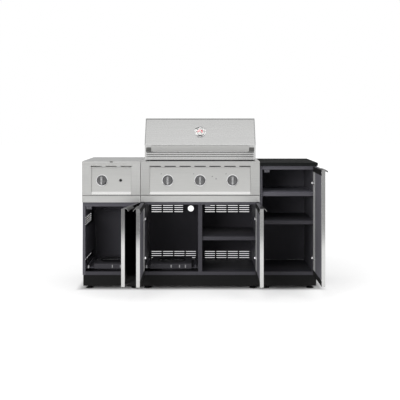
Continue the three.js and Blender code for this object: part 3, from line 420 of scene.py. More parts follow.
def powderCoat(name, shade, roughness=0.5, fineness=700.0, relief=0.00008, dust=0.12, gloss=0.15):
    material, tree, shader = principled(name, Metallic=0.0, Specular_IOR_Level=gloss)
    grain = useGroup(tree, "powderGrain", Fineness=fineness)
    cloud = useGroup(tree, "mottle", Fineness=4.0)
    settled = useGroup(tree, "settledDust", Amount=dust)
    ground = blend(tree, grain["Tone"], tint(*shade, gain=0.92), tint(*shade, gain=1.08))
    shaded = blend(tree, product(tree, cloud["Tone"], 0.3), ground, tint(*shade, gain=1.15))
    colour = blend(tree, settled["Mask"], shaded, tint(150, 148, 144))
    rough = spread(tree, cloud["Tone"], 0.0, 1.0, roughness - 0.04, roughness + 0.05)
    rough = mathNode(tree, "MULTIPLY_ADD", settled["Mask"], 0.2, rough)
    coatWith(tree, shader, colour, rough, grain["Height"], relief)
    return material


def polished(name, shade, roughness):
    material, tree, shader = principled(name, Metallic=1.0)
    cloud = useGroup(tree, "mottle", Fineness=90.0)
    colour = blend(tree, cloud["Tone"], tint(*shade, gain=0.96), tint(*shade))
    coatWith(tree, shader, colour, spread(tree, cloud["Tone"], 0.0, 1.0, roughness, roughness + 0.05))
    return material


def mouldedPlastic(name, shade, roughness=0.35, gloss=0.4):
    material, tree, shader = principled(name, Metallic=0.0, Specular_IOR_Level=gloss)
    grain = useGroup(tree, "powderGrain", Fineness=1800.0)
    colour = blend(tree, grain["Tone"], tint(*shade, gain=0.9), tint(*shade, gain=1.1))
    rough = spread(tree, grain["Tone"], 0.0, 1.0, roughness - 0.04, roughness + 0.04)
    coatWith(tree, shader, colour, rough, grain["Height"], 0.00003)
    return material


def roughCast(name, shade):
    material, tree, shader = principled(name, Metallic=0.0, Specular_IOR_Level=0.3)
    grain = useGroup(tree, "powderGrain", Fineness=420.0)
    cloud = useGroup(tree, "mottle", Fineness=25.0)
    colour = blend(tree, cloud["Tone"], tint(*shade, gain=0.8), tint(*shade, gain=1.2))
    rough = spread(tree, grain["Tone"], 0.0, 1.0, 0.62, 0.8)
    coatWith(tree, shader, colour, rough, grain["Height"], 0.0004)
    return material


def clearGlass(name):
    material, tree, shader = principled(name, Metallic=0.0, Transmission_Weight=1.0, IOR=1.1)
    cloud = useGroup(tree, "mottle", Fineness=120.0)
    colour = blend(tree, cloud["Tone"], tint(250, 250, 250), tint(255, 255, 255))
    coatWith(tree, shader, colour, spread(tree, cloud["Tone"], 0.0, 1.0, 0.0, 0.02))
    return material


finishes = {
    "stainless": brushedMetal("brushedStainless", (207, 207, 205)),
    # painted shade: a darker copy of the stainless for the grill head, standing for less light falling on it
    "grillShadeSteel": brushedMetal("grillHeadPaintedShadeStainless", (198, 198, 196)),
    "hoodSteel": brushedMetal("hoodStainless", (203, 203, 202), 0.24),
    # painted reflection: a darker copy of the stainless for the lid's top, standing for the darker surroundings
    # that it mirrors
    "lidTopDarkReflection": brushedMetal("lidTopPaintedReflectionStainless", (180, 180, 179)),
    "panelSteel": brushedMetal("panelStainless", (199, 199, 197)),
    # painted highlight: a brighter copy of the panel steel for the slope along the panel's bottom
    "slopeHighlightSteel": brushedMetal("panelSlopePaintedHighlight", (232, 232, 230), 0.2),
    "trayFront": brushedMetal("brushedTray", (206, 206, 204)),
    "handleSteel": brushedMetal("brushedHandle", (188, 188, 186), 0.3),
    "doorSteel": brushedMetal("doorStainless", (197, 197, 196), 0.1),
    "flangeSteel": satinMetal("doorFlange", (214, 214, 213), 0.15, 0.5),
    # painted shade: a dark copy of the steel for the door pulls' curved lip, standing for its shadow and dark
    # reflection
    "pullShadeSteel": brushedMetal("doorPullPaintedShade", (70, 70, 71), 0.4),
    "fittingSteel": brushedMetal("smallFittings", (150, 150, 151), 0.25),
    # painted shade: a dark copy of the steel for the hood's ledge faces, standing for the shade in the grooves
    "grooveShadeSteel": brushedMetal("hoodGroovePaintedShade", (84, 84, 83), 0.4),
    "bracketSteel": brushedMetal("handleBracket", (104, 104, 102), 0.3),
    "darkCoat": powderCoat("darkGreyCoat", (88, 87, 93)),
    # painted shade: a darker copy of the dark grey coat for the lower and inner parts, where less light falls
    "lowCoat": powderCoat("lowerPaintedShadeCoat", (66, 65, 70)),
    "backCoat": powderCoat("backPanelCoat", (86, 85, 91), 0.6),
    # painted shade: a darker copy of the back coat for the middle back, standing for the deeper shade of the
    # middle bay
    "middleBackPaintedShadeCoat": powderCoat("middleBackPaintedShadeCoat", (64, 63, 68), 0.6),
    # painted light: a lighter copy of the dark coat for the upper shelf's top, standing for the light that falls
    # on it
    "shelfTopPaintedLightCoat": powderCoat("shelfTopPaintedLightCoat", (136, 135, 145), 0.45),
    "blackCoat": powderCoat("satinBlackCoat", (29, 29, 29), 0.5, gloss=0.06),
    "blackTop": powderCoat("blackWorktop", (27, 28, 28), 0.7, 500.0, 0.00015, 0.04, 0.03),
    "trayCoat": powderCoat("tankTrayCoat", (58, 57, 61), 0.45),
    "linerCoat": powderCoat("doorLinerCoat", (104, 103, 109), 0.5),
    "enamel": powderCoat("darkEnamel", (36, 36, 40), 0.25, 300.0, 0.00005, gloss=0.4),
    "chrome": polished("polishedChrome", (250, 250, 251), 0.06),
    "knobSteel": brushedMetal("satinKnob", (116, 116, 117), 0.22, 1500.0, 0.04),
    "gripSteel": brushedMetal("knobGrip", (182, 182, 183), 0.22, 1500.0, 0.04),
    "blackPlastic": mouldedPlastic("blackPlastic", (18, 18, 19)),
    "greyPlastic": mouldedPlastic("greyPlastic", (96, 96, 100), 0.45),
    "catchGrey": mouldedPlastic("catchGrey", (78, 77, 82), 0.5, 0.2),
    "dialWhite": mouldedPlastic("dialEnamel", (204, 204, 202), 0.5, 0.3),
    "dialRed": mouldedPlastic("dialRed", (212, 84, 92), 0.5, 0.3),
    "dialPink": mouldedPlastic("dialPink", (238, 178, 182), 0.5, 0.3),
    "dialGrey": mouldedPlastic("dialGrey", (96, 96, 98), 0.5, 0.3),
    "lampLens": mouldedPlastic("indicatorLens", (150, 150, 152), 0.2),
    "glass": clearGlass("gaugeGlass"),
    "castIron": roughCast("castIron", (40, 40, 41)),
}
print("materials:", len(finishes))

# Mesh helpers


def rounded(points, radius, steps=5):
    corners = []
    for index, point in enumerate(points):
        here = Vector(point)
        before = Vector(points[index - 1]) - here
        after = Vector(points[(index + 1) % len(points)]) - here
        if before.length < 1e-9 or after.length < 1e-9:
            continue
        tangent = math.tan(max(before.angle(after) / 2, 0.01))
        reach = min(radius / tangent, before.length * 0.49, after.length * 0.49)
        start, end = here + before.normalized() * reach, here + after.normalized() * reach
        for step in range(steps + 1):
            share = step / steps
            bent = start * (1 - share) ** 2 + here * 2 * share * (1 - share) + end * share ** 2
            corners.append(tuple(bent))
    return corners


def placed(axis, first, second, along):
    return {"x": (along, first, second), "y": (first, along, second), "z": (first, second, along)}[axis]


def addWalls(build, rings):
    for first, second in zip(rings, rings[1:]):
        for index in range(len(first)):
            after = (index + 1) % len(first)
            build.faces.new((first[index], first[after], second[after], second[index]))


def addPrism(build, outline, axis, low, high):
    rings = [[build.verts.new(placed(axis, *point, along)) for point in outline] for along in (low, high)]
    addWalls(build, rings)
    build.faces.new(rings[0])
    build.faces.new(rings[1][::-1])


def addBox(build, low, high):
    outline = [(low[0], low[1]), (high[0], low[1]), (high[0], high[1]), (low[0], high[1])]
    addPrism(build, outline, "z", low[2], high[2])


def addLathe(build, profile, centre=(0, 0, 0), direction=(0, 0, 1), sides=40, ring=False):
    turn = Vector(direction).to_track_quat("Z", "Y").to_matrix()
    rows = []
    for radius, along in profile:
        count = 1 if radius < 1e-7 else sides
        angles = [2 * math.pi * step / sides for step in range(count)]
        spots = [Vector((radius * math.cos(a), radius * math.sin(a), along)) for a in angles]
        rows.append([build.verts.new(Vector(centre) + turn @ spot) for spot in spots])
    pairs = list(zip(rows, rows[1:])) + ([(rows[-1], rows[0])] if ring else [])
    faces = []
    for first, second in pairs:
        for step in range(sides):
            after = (step + 1) % sides
            corners = [first[step % len(first)], first[after % len(first)]]
            corners += [second[after % len(second)], second[step % len(second)]]
            faces.append(build.faces.new(list(dict.fromkeys(corners))))
    return faces


# edge and mouth: how far inside the two walls, and at what share of the height
def ringProfile(inner, outer, height, edge, mouth, foot=0):
    outside = [(outer - inset, height * share) for inset, share in edge]
    inside = [(inner + inset, height * share) for inset, share in mouth]
    return [(inner, foot), (outer, foot)] + outside + inside


def stadium(half, reach, steps=8):
    arcs = []
    for side in (1, -1):
        for step in range(steps + 1):
            angle = math.pi * step / steps
            arcs.append((side * half * math.cos(angle), side * (reach - half + half * math.sin(angle))))
    return arcs


def written(build, name):
    mesh = bpy.data.meshes.new(name)
    build.to_mesh(mesh)
    build.free()
    return mesh


def finished(build, name):
    bmesh.ops.remove_doubles(build, verts=build.verts, dist=0.00001)
    bmesh.ops.recalc_face_normals(build, faces=build.faces)
    return written(build, name)


def softEdges(piece, width, segments=2, angle=35):
    edge = piece.modifiers.new("softEdges", "BEVEL")
    edge.width = width
    edge.segments = segments
    edge.limit_method = "ANGLE"
    edge.angle_limit = math.radians(angle)
    edge.use_clamp_overlap = True
    edge.harden_normals = True


def sheetMetal(piece, thickness):
    wall = piece.modifiers.new("sheetMetal", "SOLIDIFY")
    wall.thickness = thickness
    wall.offset = -1
    wall.use_even_offset = True


def newPiece(name, mesh, finish, body, slotName, replaced=(), bevel=None, smooth=30):
    mesh.set_sharp_from_angle(angle=math.radians(smooth))
    for polygon in mesh.polygons:
        polygon.use_smooth = True
    piece = bpy.data.objects.new(name, mesh)
    scene.collection.objects.link(piece)
    for entry in ([finish] if isinstance(finish, str) else finish or ()):
        mesh.materials.append(finishes[entry])
    if bevel:
        softEdges(piece, bevel)
    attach(piece, body)
    if replaced:
        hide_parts(*replaced)
    return piece


def solidPiece(name, build, finish, body, slotName, replaced=(), place=None, **options):
    mesh = finished(build, name)
    if place is not None:
        mesh.transform(place)
    newPiece(name, mesh, finish, body, slotName, replaced, **options)


def turnedPiece(name, profile, spots, direction, sides, *about, ring=False, **options):
    build = bmesh.new()
    for spot in spots:
        addLathe(build, profile, spot, direction, sides, ring)
    solidPiece(name, build, *about, **options)


def mergedCopy(node):
    build = bmesh.new()
    build.from_mesh(nodes[node].data)
    bmesh.ops.remove_doubles(build, verts=build.verts, dist=0.00002)
    bmesh.ops.dissolve_limit(build, angle_limit=math.radians(0.6), verts=build.verts, edges=build.edges)
    return written(build, node + "_copy")


def dressNode(node, finish, bevel=0.0006, shaping=None):
    mesh = mergedCopy(node)
    if shaping:
        shaping(mesh)
    newPiece(node + "_skin", mesh, finish, bodyOf[node], slotOf[node], (node,), bevel)


# Geometry Nodes


def growTree(name, **inputs):
    tree = bpy.data.node_groups.new(name, "GeometryNodeTree")
    for label, kind in {"Geometry": "Geometry", **inputs, "Finish": "Material"}.items():
        tree.interface.new_socket(label, in_out="INPUT", socket_type="NodeSocket" + kind)
    tree.interface.new_socket("Geometry", in_out="OUTPUT", socket_type="NodeSocketGeometry")
    return tree, tree.nodes.new("NodeGroupInput").outputs, tree.nodes.new("NodeGroupOutput").inputs


def onPoints(tree, points, piece, turn=None):
    values = {"Points": points, "Instance": piece, "Rotation": turn}
    return addNode(tree, "GeometryNodeInstanceOnPoints", **values).outputs[0]


def endTree(tree, geometry, given, result):
    solid = addNode(tree, "GeometryNodeRealizeInstances", Geometry=geometry).outputs[0]
    coated = addNode(tree, "GeometryNodeSetMaterial", Geometry=solid, Material=given["Finish"])
    tree.links.new(coated.outputs[0], result["Geometry"])
    return tree


def makeScrewTree():
    tree, given, result = growTree("screwHeads", Radius="Float", Height="Float", Facing="Vector")
    radius, height = given["Radius"], given["Height"]
    collar = addNode(tree, "GeometryNodeMeshCylinder", Radius=radius, Depth=height, Vertices=12)
    sizes = {
        "Radius_Bottom": product(tree, radius, 0.92),
        "Radius_Top": product(tree, radius, 0.45),
        "Depth": product(tree, height, 0.6),
    }
    dome = addNode(tree, "GeometryNodeMeshCone", Vertices=12, **sizes).outputs[0]
    lift = addNode(tree, "ShaderNodeCombineXYZ", Z=product(tree, height, 0.5)).outputs[0]
    raised = addNode(tree, "GeometryNodeTransform", Geometry=dome, Translation=lift)
    head = tree.nodes.new("GeometryNodeJoinGeometry")
    for layer in (collar, raised):
        tree.links.new(layer.outputs[0], head.inputs[0])
    aim = addNode(tree, "FunctionNodeAlignRotationToVector", Vector=given["Facing"]).outputs[0]
    return endTree(tree, onPoints(tree, given["Geometry"], head.outputs[0], aim), given, result)


def makeBladeTree():
    tree, given, result = growTree("ventBlades", Size="Vector", Tilt="Vector")
    blade = addNode(tree, "GeometryNodeMeshCube", Size=given["Size"]).outputs[0]
    turn = addNode(tree, "FunctionNodeEulerToRotation", Euler=given["Tilt"]).outputs[0]
    leaning = addNode(tree, "GeometryNodeTransform", Geometry=blade, Rotation=turn).outputs[0]
    return endTree(tree, onPoints(tree, given["Geometry"], leaning), given, result)


def makeRodTree():
    inputs = {"Count": "Int", "Step": "Vector", "Length": "Float", "Radius": "Float", "Facing": "Vector"}
    tree, given, result = growTree("rodRow", **inputs)
    sizes = {"Radius": given["Radius"], "Depth": given["Length"], "Vertices": 12}
    rod = addNode(tree, "GeometryNodeMeshCylinder", **sizes).outputs[0]
    aim = addNode(tree, "FunctionNodeAlignRotationToVector", Vector=given["Facing"]).outputs[0]
    row = addNode(tree, "GeometryNodeMeshLine", Count=given["Count"], Offset=given["Step"]).outputs[0]
    rods = onPoints(tree, row, rod, aim)
    return endTree(tree, onPoints(tree, given["Geometry"], rods), given, result)


growTrees = {"screwHeads": makeScrewTree(), "ventBlades": makeBladeTree(), "rodRow": makeRodTree()}


def grown(name, treeName, points, finish, **values):
    cloud = bpy.data.meshes.new(name + "_points")
    cloud.from_pydata(points, [], [])
    carrier = bpy.data.objects.new(name + "_carrier", cloud)
    scene.collection.objects.link(carrier)
    modifier = carrier.modifiers.new("grow", "NODES")
    modifier.node_group = growTrees[treeName]
    values["Finish"] = finishes[finish]
    for socket in growTrees[treeName].interface.items_tree:
        if socket.in_out == "INPUT" and socket.name in values:
            modifier[socket.identifier] = values[socket.name]
    depsgraph = bpy.context.evaluated_depsgraph_get()
    mesh = bpy.data.meshes.new_from_object(carrier.evaluated_get(depsgraph), depsgraph=depsgraph)
    mesh.name = name
    bpy.data.objects.remove(carrier)
    return mesh


print("geometry node trees:", len(growTrees))

# Hood

hoodSettings = {
    "sheet": 0.002,
    "corner": 0.004,  # round of the seams at both ends
    "lip": 0.0215,
    "ledges": 3,
    "ledgeStep": 0.004,
    "ledgeRise": 0.0148,
    "ledgeFade": 0.030,  # the ledges run out this far from the ends
    "fadeSteps": (0, 0.1, 0.25, 0.45, 0.7, 1.0),
    "fadeCurve": 0.6,
    "middleSteps": 6,
    "ledgeDip": 0.006,
    "face": 0.0895,
    "crestRun": (0.123, 0.013),
    "crestDrop": 0.008,
    "crestRound": 0.010,
    "rearRun": (0.090, 0.060),
    "rearDrop": 0.012,
    "backFold": 0.006,  # below the front fold
    "backRise": 0.007,
    "mouthAbovePivot": 0.002,
    "bolt": ((0, 0), (0.009, 0), (0.009, 0.0015), (0.0063, 0.004), (0, 0.005)),  # radius and height
}
hoodBody = bodyOf["hood"]
gaugeSlot = slotOf["temperature_gauge"]


def hoodHeights(settings):
    low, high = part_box("hood")
    face = low.y + settings["ledges"] * settings["ledgeStep"]
    fold = low.z + settings["lip"] + settings["face"]
    return low, high, face, fold


def hoodColumn(settings, share):
    low, high, face, fold = hoodHeights(settings)
    step, dip = settings["ledgeStep"], settings["ledgeDip"] * (1 - share)
    front = [(low.y, low.z)]
    for index in range(settings["ledges"]):
        z = low.z + settings["lip"] + index * settings["ledgeRise"]
        front += [(low.y + index * step, z), (low.y + (index + 1) * step, z + step)]
    faded = [(face + (y - face) * share, z - dip * (z > low.z)) for y, z in front]
    crest = (face + settings["crestRun"][0], high.z - settings["crestDrop"])
    rear = [high.y - run for run in settings["rearRun"]]
    sharp = [
        faded[-1], (face, fold), crest, (crest[0] + settings["crestRun"][1], high.z), (rear[0], high.z),
        (rear[1], high.z - settings["rearDrop"]), (high.y, fold - settings["backFold"]), (high.y, low.z),
    ]
    soft = rounded(sharp, settings["crestRound"], 4)
    return faded + soft[5:-5]  # the two end corners stay sharp


def sharpenRim(mesh):
    build = bmesh.new()
    build.from_mesh(mesh)
    for edge in build.edges:
        if edge.is_boundary:
            edge.smooth = False
    build.to_mesh(mesh)
    build.free()


def makeHood(settings):
    low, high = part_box("hood")
    mouth = joints["hood_hinge"]["pos_m"][2] + settings["mouthAbovePivot"]
    fade, steps = settings["ledgeFade"], settings["middleSteps"]
    ends = [low.x + fade * share for share in settings["fadeSteps"]]
    middle = [low.x + fade + (high.x - low.x - 2 * fade) * step / steps for step in range(1, steps)]
    build = bmesh.new()
    columns = []
    for x in ends + middle + [low.x + high.x - x for x in reversed(ends)]:
        reach = min(x - low.x, high.x - x) / fade
        share = min(1.0, reach) ** settings["fadeCurve"]
        outline = hoodColumn(settings, share) + [(high.y, mouth)]
        columns.append([build.verts.new((x, y, z)) for y, z in outline])
    for left, right in zip(columns, columns[1:]):
        for index in range(len(left) - 1):
            build.faces.new((left[index], right[index], right[index + 1], left[index + 1]))
    for column in (columns[0], columns[-1]):
        foot = build.verts.new((column[0].co.x, high.y, low.z + settings["backRise"]))
        build.faces.new(column + [foot])
    mesh = finished(build, "hood_shell")
    top = low.z + settings["lip"] + settings["ledges"] * settings["ledgeRise"]
    # painted shade: the ledges' leaning faces take the dark groove steel
    for polygon in mesh.polygons:
        leaning = 0.5 < polygon.normal.z < 0.95 and polygon.normal.y < -0.3
        polygon.material_index = int(leaning and polygon.center.z < top)
    hood = newPiece("hood_shell", mesh, ("hoodSteel", "grooveShadeSteel"), hoodBody, slotOf["hood"], ("hood",))
    sharpenRim(mesh)
    softEdges(hood, settings["corner"], 3, 60)
    sheetMetal(hood, settings["sheet"])


def makeHoodBolts(settings):
    low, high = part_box("hood")
    pivot = joints["hood_hinge"]["pos_m"]
    build = bmesh.new()
    for x, side in ((low.x, -1), (high.x, 1)):
        addLathe(build, settings["bolt"], (x, pivot[1], pivot[2]), (side, 0, 0), 24)
    solidPiece("hood_pivot_bolts", build, "chrome", hoodBody, gaugeSlot)


makeHood(hoodSettings)
makeHoodBolts(hoodSettings)
print("hood: done")

# Hood handle

handleSettings = {
    "height": 0.043,
    "sheet": 0.004,
    "fold": 0.009,
    "barEnd": 0.038,  # the bar stops this far inside the brackets' outer ends
    "lap": 0.011,
    "round": 0.0035,
    "bracketRound": 0.004,
    "bracketGap": 0.0004,  # in front of the hood's face
    "bracketFront": (0.002, 0.001),  # behind the bar's sheet, at the foot and at the top
    "bracketTop": (0.018, 0.013),  # below the handle's top, at the front and at the back
}


def makeHandle(settings):
    low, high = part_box("hood_handle")
    top, bottom = high.z, high.z - settings["height"]
    t, fold, lap = settings["sheet"], low.y + settings["fold"], settings["lap"]
    ends = (low.x + settings["barEnd"], high.x - settings["barEnd"])
    outline = [
        (fold, bottom), (low.y, bottom), (low.y, top), (fold, top), (fold, top - t), (low.y + t, top - t),
        (low.y + t, bottom + t), (fold, bottom + t),
    ]
    build = bmesh.new()
    addPrism(build, rounded(outline, settings["round"], 4), "x", *ends)
    slotName = slotOf["hood_handle"]
    solidPiece("hood_handle_bar", build, "handleSteel", hoodBody, slotName, ("hood_handle",), bevel=0.0006)
    back = hoodHeights(hoodSettings)[2] - settings["bracketGap"]
    front = [low.y + t + reach for reach in settings["bracketFront"]]
    tops = [high.z - drop for drop in settings["bracketTop"]]
    side = [(back, low.z), (front[0], low.z), (front[1], tops[0]), (back, tops[1])]
    build = bmesh.new()
    for outer, inner in ((low.x, ends[0] + lap), (high.x, ends[1] - lap)):
        addPrism(build, rounded(side, settings["bracketRound"], 4), "x", *sorted((outer, inner)))
    solidPiece("hood_handle_brackets", build, "bracketSteel", hoodBody, slotName, bevel=0.002)


makeHandle(handleSettings)
print("hood handle: done")

# Temperature gauge

gaugeSettings = {
    "rise": 0.091,  # above the hood's fold
    "radius": 0.0465,
    "height": 0.010,
    "foot": 0.0006,
    "rim": 0.0055,
    "edge": ((0, 0.55), (0.0009, 0.85), (0.0026, 1)),
    "mouth": ((0.0016, 0.97), (0, 0.8)),
    "dialAt": 0.0055,
    "sweep": (225, -45),  # degrees, from the lowest to the highest mark
    "marks": 25,
    "longEvery": 4,
    "longMark": (0.0007, 0.80),  # half width, and its start as a share of the dial
    "shortMark": (0.0004, 0.86),
    "markEnd": 0.93,
    "ink": 0.0002,
    "zoneInk": 0.0003,
    "zone": (0.26, 0.45),
    "warm": (0.12, 0.58),  # shares of the scale that the two coloured bands cover
    "hot": (0.60, 0.96),
    "needleAt": 0.12,
    "needle": (-0.008, 0.0014, 0.82),  # tail, half width, and its reach as a share of the dial
    "needleLift": (0.0006, 0.0012),
    "hub": ((0, 0.0002), (0.004, 0.0002), (0.004, 0.0016), (0, 0.0019)),  # radius and height above the dial
    "glassGap": 0.0002,
    "numbers": ("100", "200", "300", "400", "500", "600", "700"),
    "numberSize": 0.0055,
    "numberReach": 0.63,
    "arc": (38, 142),  # degrees of a dark arc along the top of the bezel, a painted shadow of the bezel
    "arcInset": (0.0005, 0.0012),
    "arcDrop": 0.004,
    "arcLift": 0.0006,
    "plate": (0.016, -0.0435, -0.033),  # half width, lower and upper edge
    "plateRound": 0.003,
    "plateLift": 0.0012,
}
inks = ("dialWhite", "blackPlastic", "dialRed", "dialPink")


def gaugePlace(settings):
    low, high, face, fold = hoodHeights(hoodSettings)
    run = hoodSettings["crestRun"][0]
    rise = high.z - hoodSettings["crestDrop"] - fold
    slope = Vector((0, run, rise)).normalized()
    centre = Vector(((low.x + high.x) / 2, face + settings["rise"] * run / rise, fold + settings["rise"]))
    outward = Vector((0, -slope.z, slope.y))
    turn = Matrix((Vector((1, 0, 0)), slope, outward)).transposed().to_4x4()  # X right, Y up the slope
    return Matrix.Translation(centre) @ turn


def gaugePiece(name, build, finish, replaced=(), **options):
    place = gaugePlace(gaugeSettings)
    solidPiece(name, build, finish, hoodBody, gaugeSlot, replaced, place, **options)


def addPlate(build, outline, low, high, ink="dialWhite"):
    before = len(build.faces)
    addPrism(build, outline, "z", low, high)
    build.faces.ensure_lookup_table()
    for face in build.faces[before:]:
        face.material_index = inks.index(ink)


def ringSector(inner, outer, start, end, steps=16):
    angles = [math.radians(start + (end - start) * step / steps) for step in range(steps + 1)]
    outside = [(outer * math.cos(a), outer * math.sin(a)) for a in angles]
    return outside + [(inner * math.cos(a), inner * math.sin(a)) for a in reversed(angles)]


def dialDegrees(settings, share):
    start, end = settings["sweep"]
    return start + (end - start) * share


def dialWays(settings, share):
    angle = math.radians(dialDegrees(settings, share))
    along = Vector((math.cos(angle), math.sin(angle)))
    return along, Vector((-along.y, along.x))


def makeGaugeCase(settings):
    radius, height = settings["radius"], settings["height"]
    inner = radius - settings["rim"]
    build = bmesh.new()
    profile = ringProfile(inner, radius, height, settings["edge"], settings["mouth"], settings["foot"])
    addLathe(build, profile, sides=64, ring=True)
    gaugePiece("gauge_bezel", build, "chrome", ("temperature_gauge",), smooth=50)

    # a dark arc of painted shadow under the bezel's top, and a small dark plate below the dial
    build = bmesh.new()
    inwards, outwards = settings["arcInset"]
    arc = ringSector(inner + inwards, radius - outwards, *settings["arc"], 24)
    arc = [(x, y - settings["arcDrop"]) for x, y in arc]
    addPlate(build, arc, height * 0.9, height + settings["arcLift"])
    half, foot, head = settings["plate"]
    plate = rounded([(-half, foot), (half, foot), (half, head), (-half, head)], settings["plateRound"])
    addPlate(build, plate, height * 0.7, height + settings["plateLift"])
    gaugePiece("gauge_painted_shadow_and_plate", build, "dialGrey", bevel=0.0003)


def addMarks(build, settings, inner, dial):
    far = inner * settings["markEnd"]
    for index in range(settings["marks"]):
        half, start = settings["shortMark" if index % settings["longEvery"] else "longMark"]
        along, across = dialWays(settings, index / (settings["marks"] - 1))
        near, side = inner * start, across * half
        corners = [along * near - side, along * far - side, along * far + side, along * near + side]
        addPlate(build, corners, dial, dial + settings["ink"], "blackPlastic")


def makeGaugeDial(settings):
    inner, dial, foot = settings["radius"] - settings["rim"], settings["dialAt"], settings["foot"]
    build = bmesh.new()
    addLathe(build, [(0, foot), (inner, foot), (inner, dial), (0, dial)], sides=64)
    addMarks(build, settings, inner, dial)
    near, far = (inner * share for share in settings["zone"])
    for ink, shares in (("dialPink", settings["warm"]), ("dialRed", settings["hot"])):
        ends = [dialDegrees(settings, share) for share in shares]
        addPlate(build, ringSector(near, far, *ends), dial, dial + settings["zoneInk"], ink)
    along, across = dialWays(settings, settings["needleAt"])
    tail, half, tip = settings["needle"]
    needle = [along * tail - across * half, along * inner * tip, along * tail + across * half]
    addPlate(build, needle, *(dial + lift for lift in settings["needleLift"]), "dialRed")
    hub = addLathe(build, [(radius, dial + lift) for radius, lift in settings["hub"]], sides=24)
    for face in hub:
        face.material_index = inks.index("blackPlastic")
    gaugePiece("gauge_dial", build, inks)


def makeGaugeGlass(settings):
    height, inner = settings["height"], settings["radius"] - settings["rim"]
    bow, edge = inner * 0.7, inner - settings["glassGap"]
    outside = [(0, height * 0.86), (bow, height * 0.82), (edge, height * 0.74)]
    inside = [(edge, height * 0.66), (bow, height * 0.72), (0, height * 0.76)]
    build = bmesh.new()
    addLathe(build, outside + inside, sides=48)
    gaugePiece("gauge_glass", build, "glass")


def makeGaugeNumbers(settings):
    place, words = gaugePlace(settings), settings["numbers"]
    reach = (settings["radius"] - settings["rim"]) * settings["numberReach"]
    build = bmesh.new()
    for index, word in enumerate(words):
        curve = bpy.data.curves.new("number", "FONT")
        curve.body = word
        curve.size = settings["numberSize"]
        curve.align_x = "CENTER"
        curve.align_y = "CENTER"
        curve.resolution_u = 3
        curve.extrude = 0.0001
        text = bpy.data.objects.new("number", curve)
        mesh = bpy.data.meshes.new_from_object(text)
        angle = math.radians(dialDegrees(settings, index / (len(words) - 1)))
        spot = (reach * math.cos(angle), reach * math.sin(angle), settings["dialAt"] + settings["ink"])
        mesh.transform(place @ Matrix.Translation(spot))
        build.from_mesh(mesh)
        bpy.data.objects.remove(text)
        bpy.data.meshes.remove(mesh)
    newPiece("gauge_numbers", written(build, "gauge_numbers"), "blackPlastic", hoodBody, gaugeSlot)


makeGaugeCase(gaugeSettings)
makeGaugeDial(gaugeSettings)
makeGaugeGlass(gaugeSettings)
makeGaugeNumbers(gaugeSettings)
print("temperature gauge: done")

# Control panels, bezels, knobs and igniter

panelSettings = {
    "sheet": 0.0015,
    "setback": 0.008,
    "slope": 0.020,  # height of the slope along the bottom, made bright by a painted highlight
    "lip": 0.004,
    "bezelInner": 0.036,
    "bezelOuter": 0.0432,
    "bezelHeight": 0.010,
    "bezelEdge": ((0, 0.5), (0.0009, 0.78), (0.0024, 0.94), (0.0040, 1)),
    "bezelMouth": ((0.0012, 1), (0.0003, 0.94), (0, 0.8)),
    "bezelHole": 0.0047,  # lets the valve stem through
    "bezelFloor": (0.0005, 0.003),
    "markRadius": 0.0038,
    "markInk": 0.0002,
    "markOffset": (-0.047, 0.047),
    "lampOffset": (0.1165, 0.0116),
    "lamp": ((0, 0), (0.0055, 0), (0.0055, 0.002), (0.0044, 0.0035), (0, 0.0045)),
    "lampMarkOffset": (0.088, 0.0268),
}
knobs = ("left_knob", "knob_1", "knob_2", "knob_3")
towardsFront = (0, -1, 0)


def panelFace(settings):
    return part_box("grill_control_panel")[1].y - settings["sheet"]


def middleOf(node):
    low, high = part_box(node)
    return (low + high) / 2


def onPanel(settings, node, right=0, up=0):
    centre = middleOf(node)
    return (centre.x + right, panelFace(settings), centre.z + up)


def makePanel(node, settings):
    low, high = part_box(node)
    t, face = settings["sheet"], panelFace(settings)
    front, bend, lip = face - settings["setback"], low.z + settings["slope"], high.z - settings["lip"]
    outline = [
        (front, low.z), (front, low.z + t), (face, bend), (face, lip), (front, high.z - t), (front, high.z),
        (high.y, high.z), (high.y, low.z),
    ]
    end = [(front, low.z), (front, high.z), (high.y, high.z), (high.y, low.z)]
    build = bmesh.new()
    addPrism(build, outline, "x", low.x + t, high.x - t)
    addPrism(build, end, "x", low.x, low.x + t)
    addPrism(build, end, "x", high.x - t, high.x)
    mesh = finished(build, node + "_sheet")
    # the leaning slope takes the painted highlight
    for polygon in mesh.polygons:
        polygon.material_index = int(0.2 < polygon.normal.z < 0.7)
    finish = ("panelSteel", "slopeHighlightSteel")
    newPiece(node + "_sheet", mesh, finish, bodyOf[node], slotOf[node], (node,), 0.0005)


def makeBezels(settings):
    inner, outer, height = (settings[key] for key in ("bezelInner", "bezelOuter", "bezelHeight"))
    hole, (foot, top) = settings["bezelHole"], settings["bezelFloor"]
    profile = ringProfile(inner, outer, height, settings["bezelEdge"], settings["bezelMouth"])
    dish = [(hole, foot), (inner, foot), (inner, top), (hole, top)]
    spots = [onPanel(settings, name) for name in knobs]
    about = (mainBody, slotOf["knob_1"])
    turnedPiece("knob_bezels", profile, spots, towardsFront, 56, "chrome", *about, ring=True, smooth=50)
    turnedPiece("knob_bezel_floors", dish, spots, towardsFront, 56, "blackPlastic", *about, ring=True)


def makePanelMarks(settings):
    outer, ink = settings["markRadius"], settings["markInk"]
    inner = outer * 0.5
    profile = [(inner, 0), (outer, 0), (outer, ink), (inner, ink)]
    spots = [onPanel(settings, name, *settings["markOffset"]) for name in knobs[1:]]
    spots.append(onPanel(settings, "knob_2", *settings["lampMarkOffset"]))
    about = (mainBody, slotOf["igniter_button"])
    turnedPiece("panel_marks", profile, spots, towardsFront, 20, "dialGrey", *about, ring=True)
    spots = [onPanel(settings, "knob_2", *settings["lampOffset"])]
    turnedPiece("indicator_lamp", settings["lamp"], spots, towardsFront, 24, "lampLens", *about)


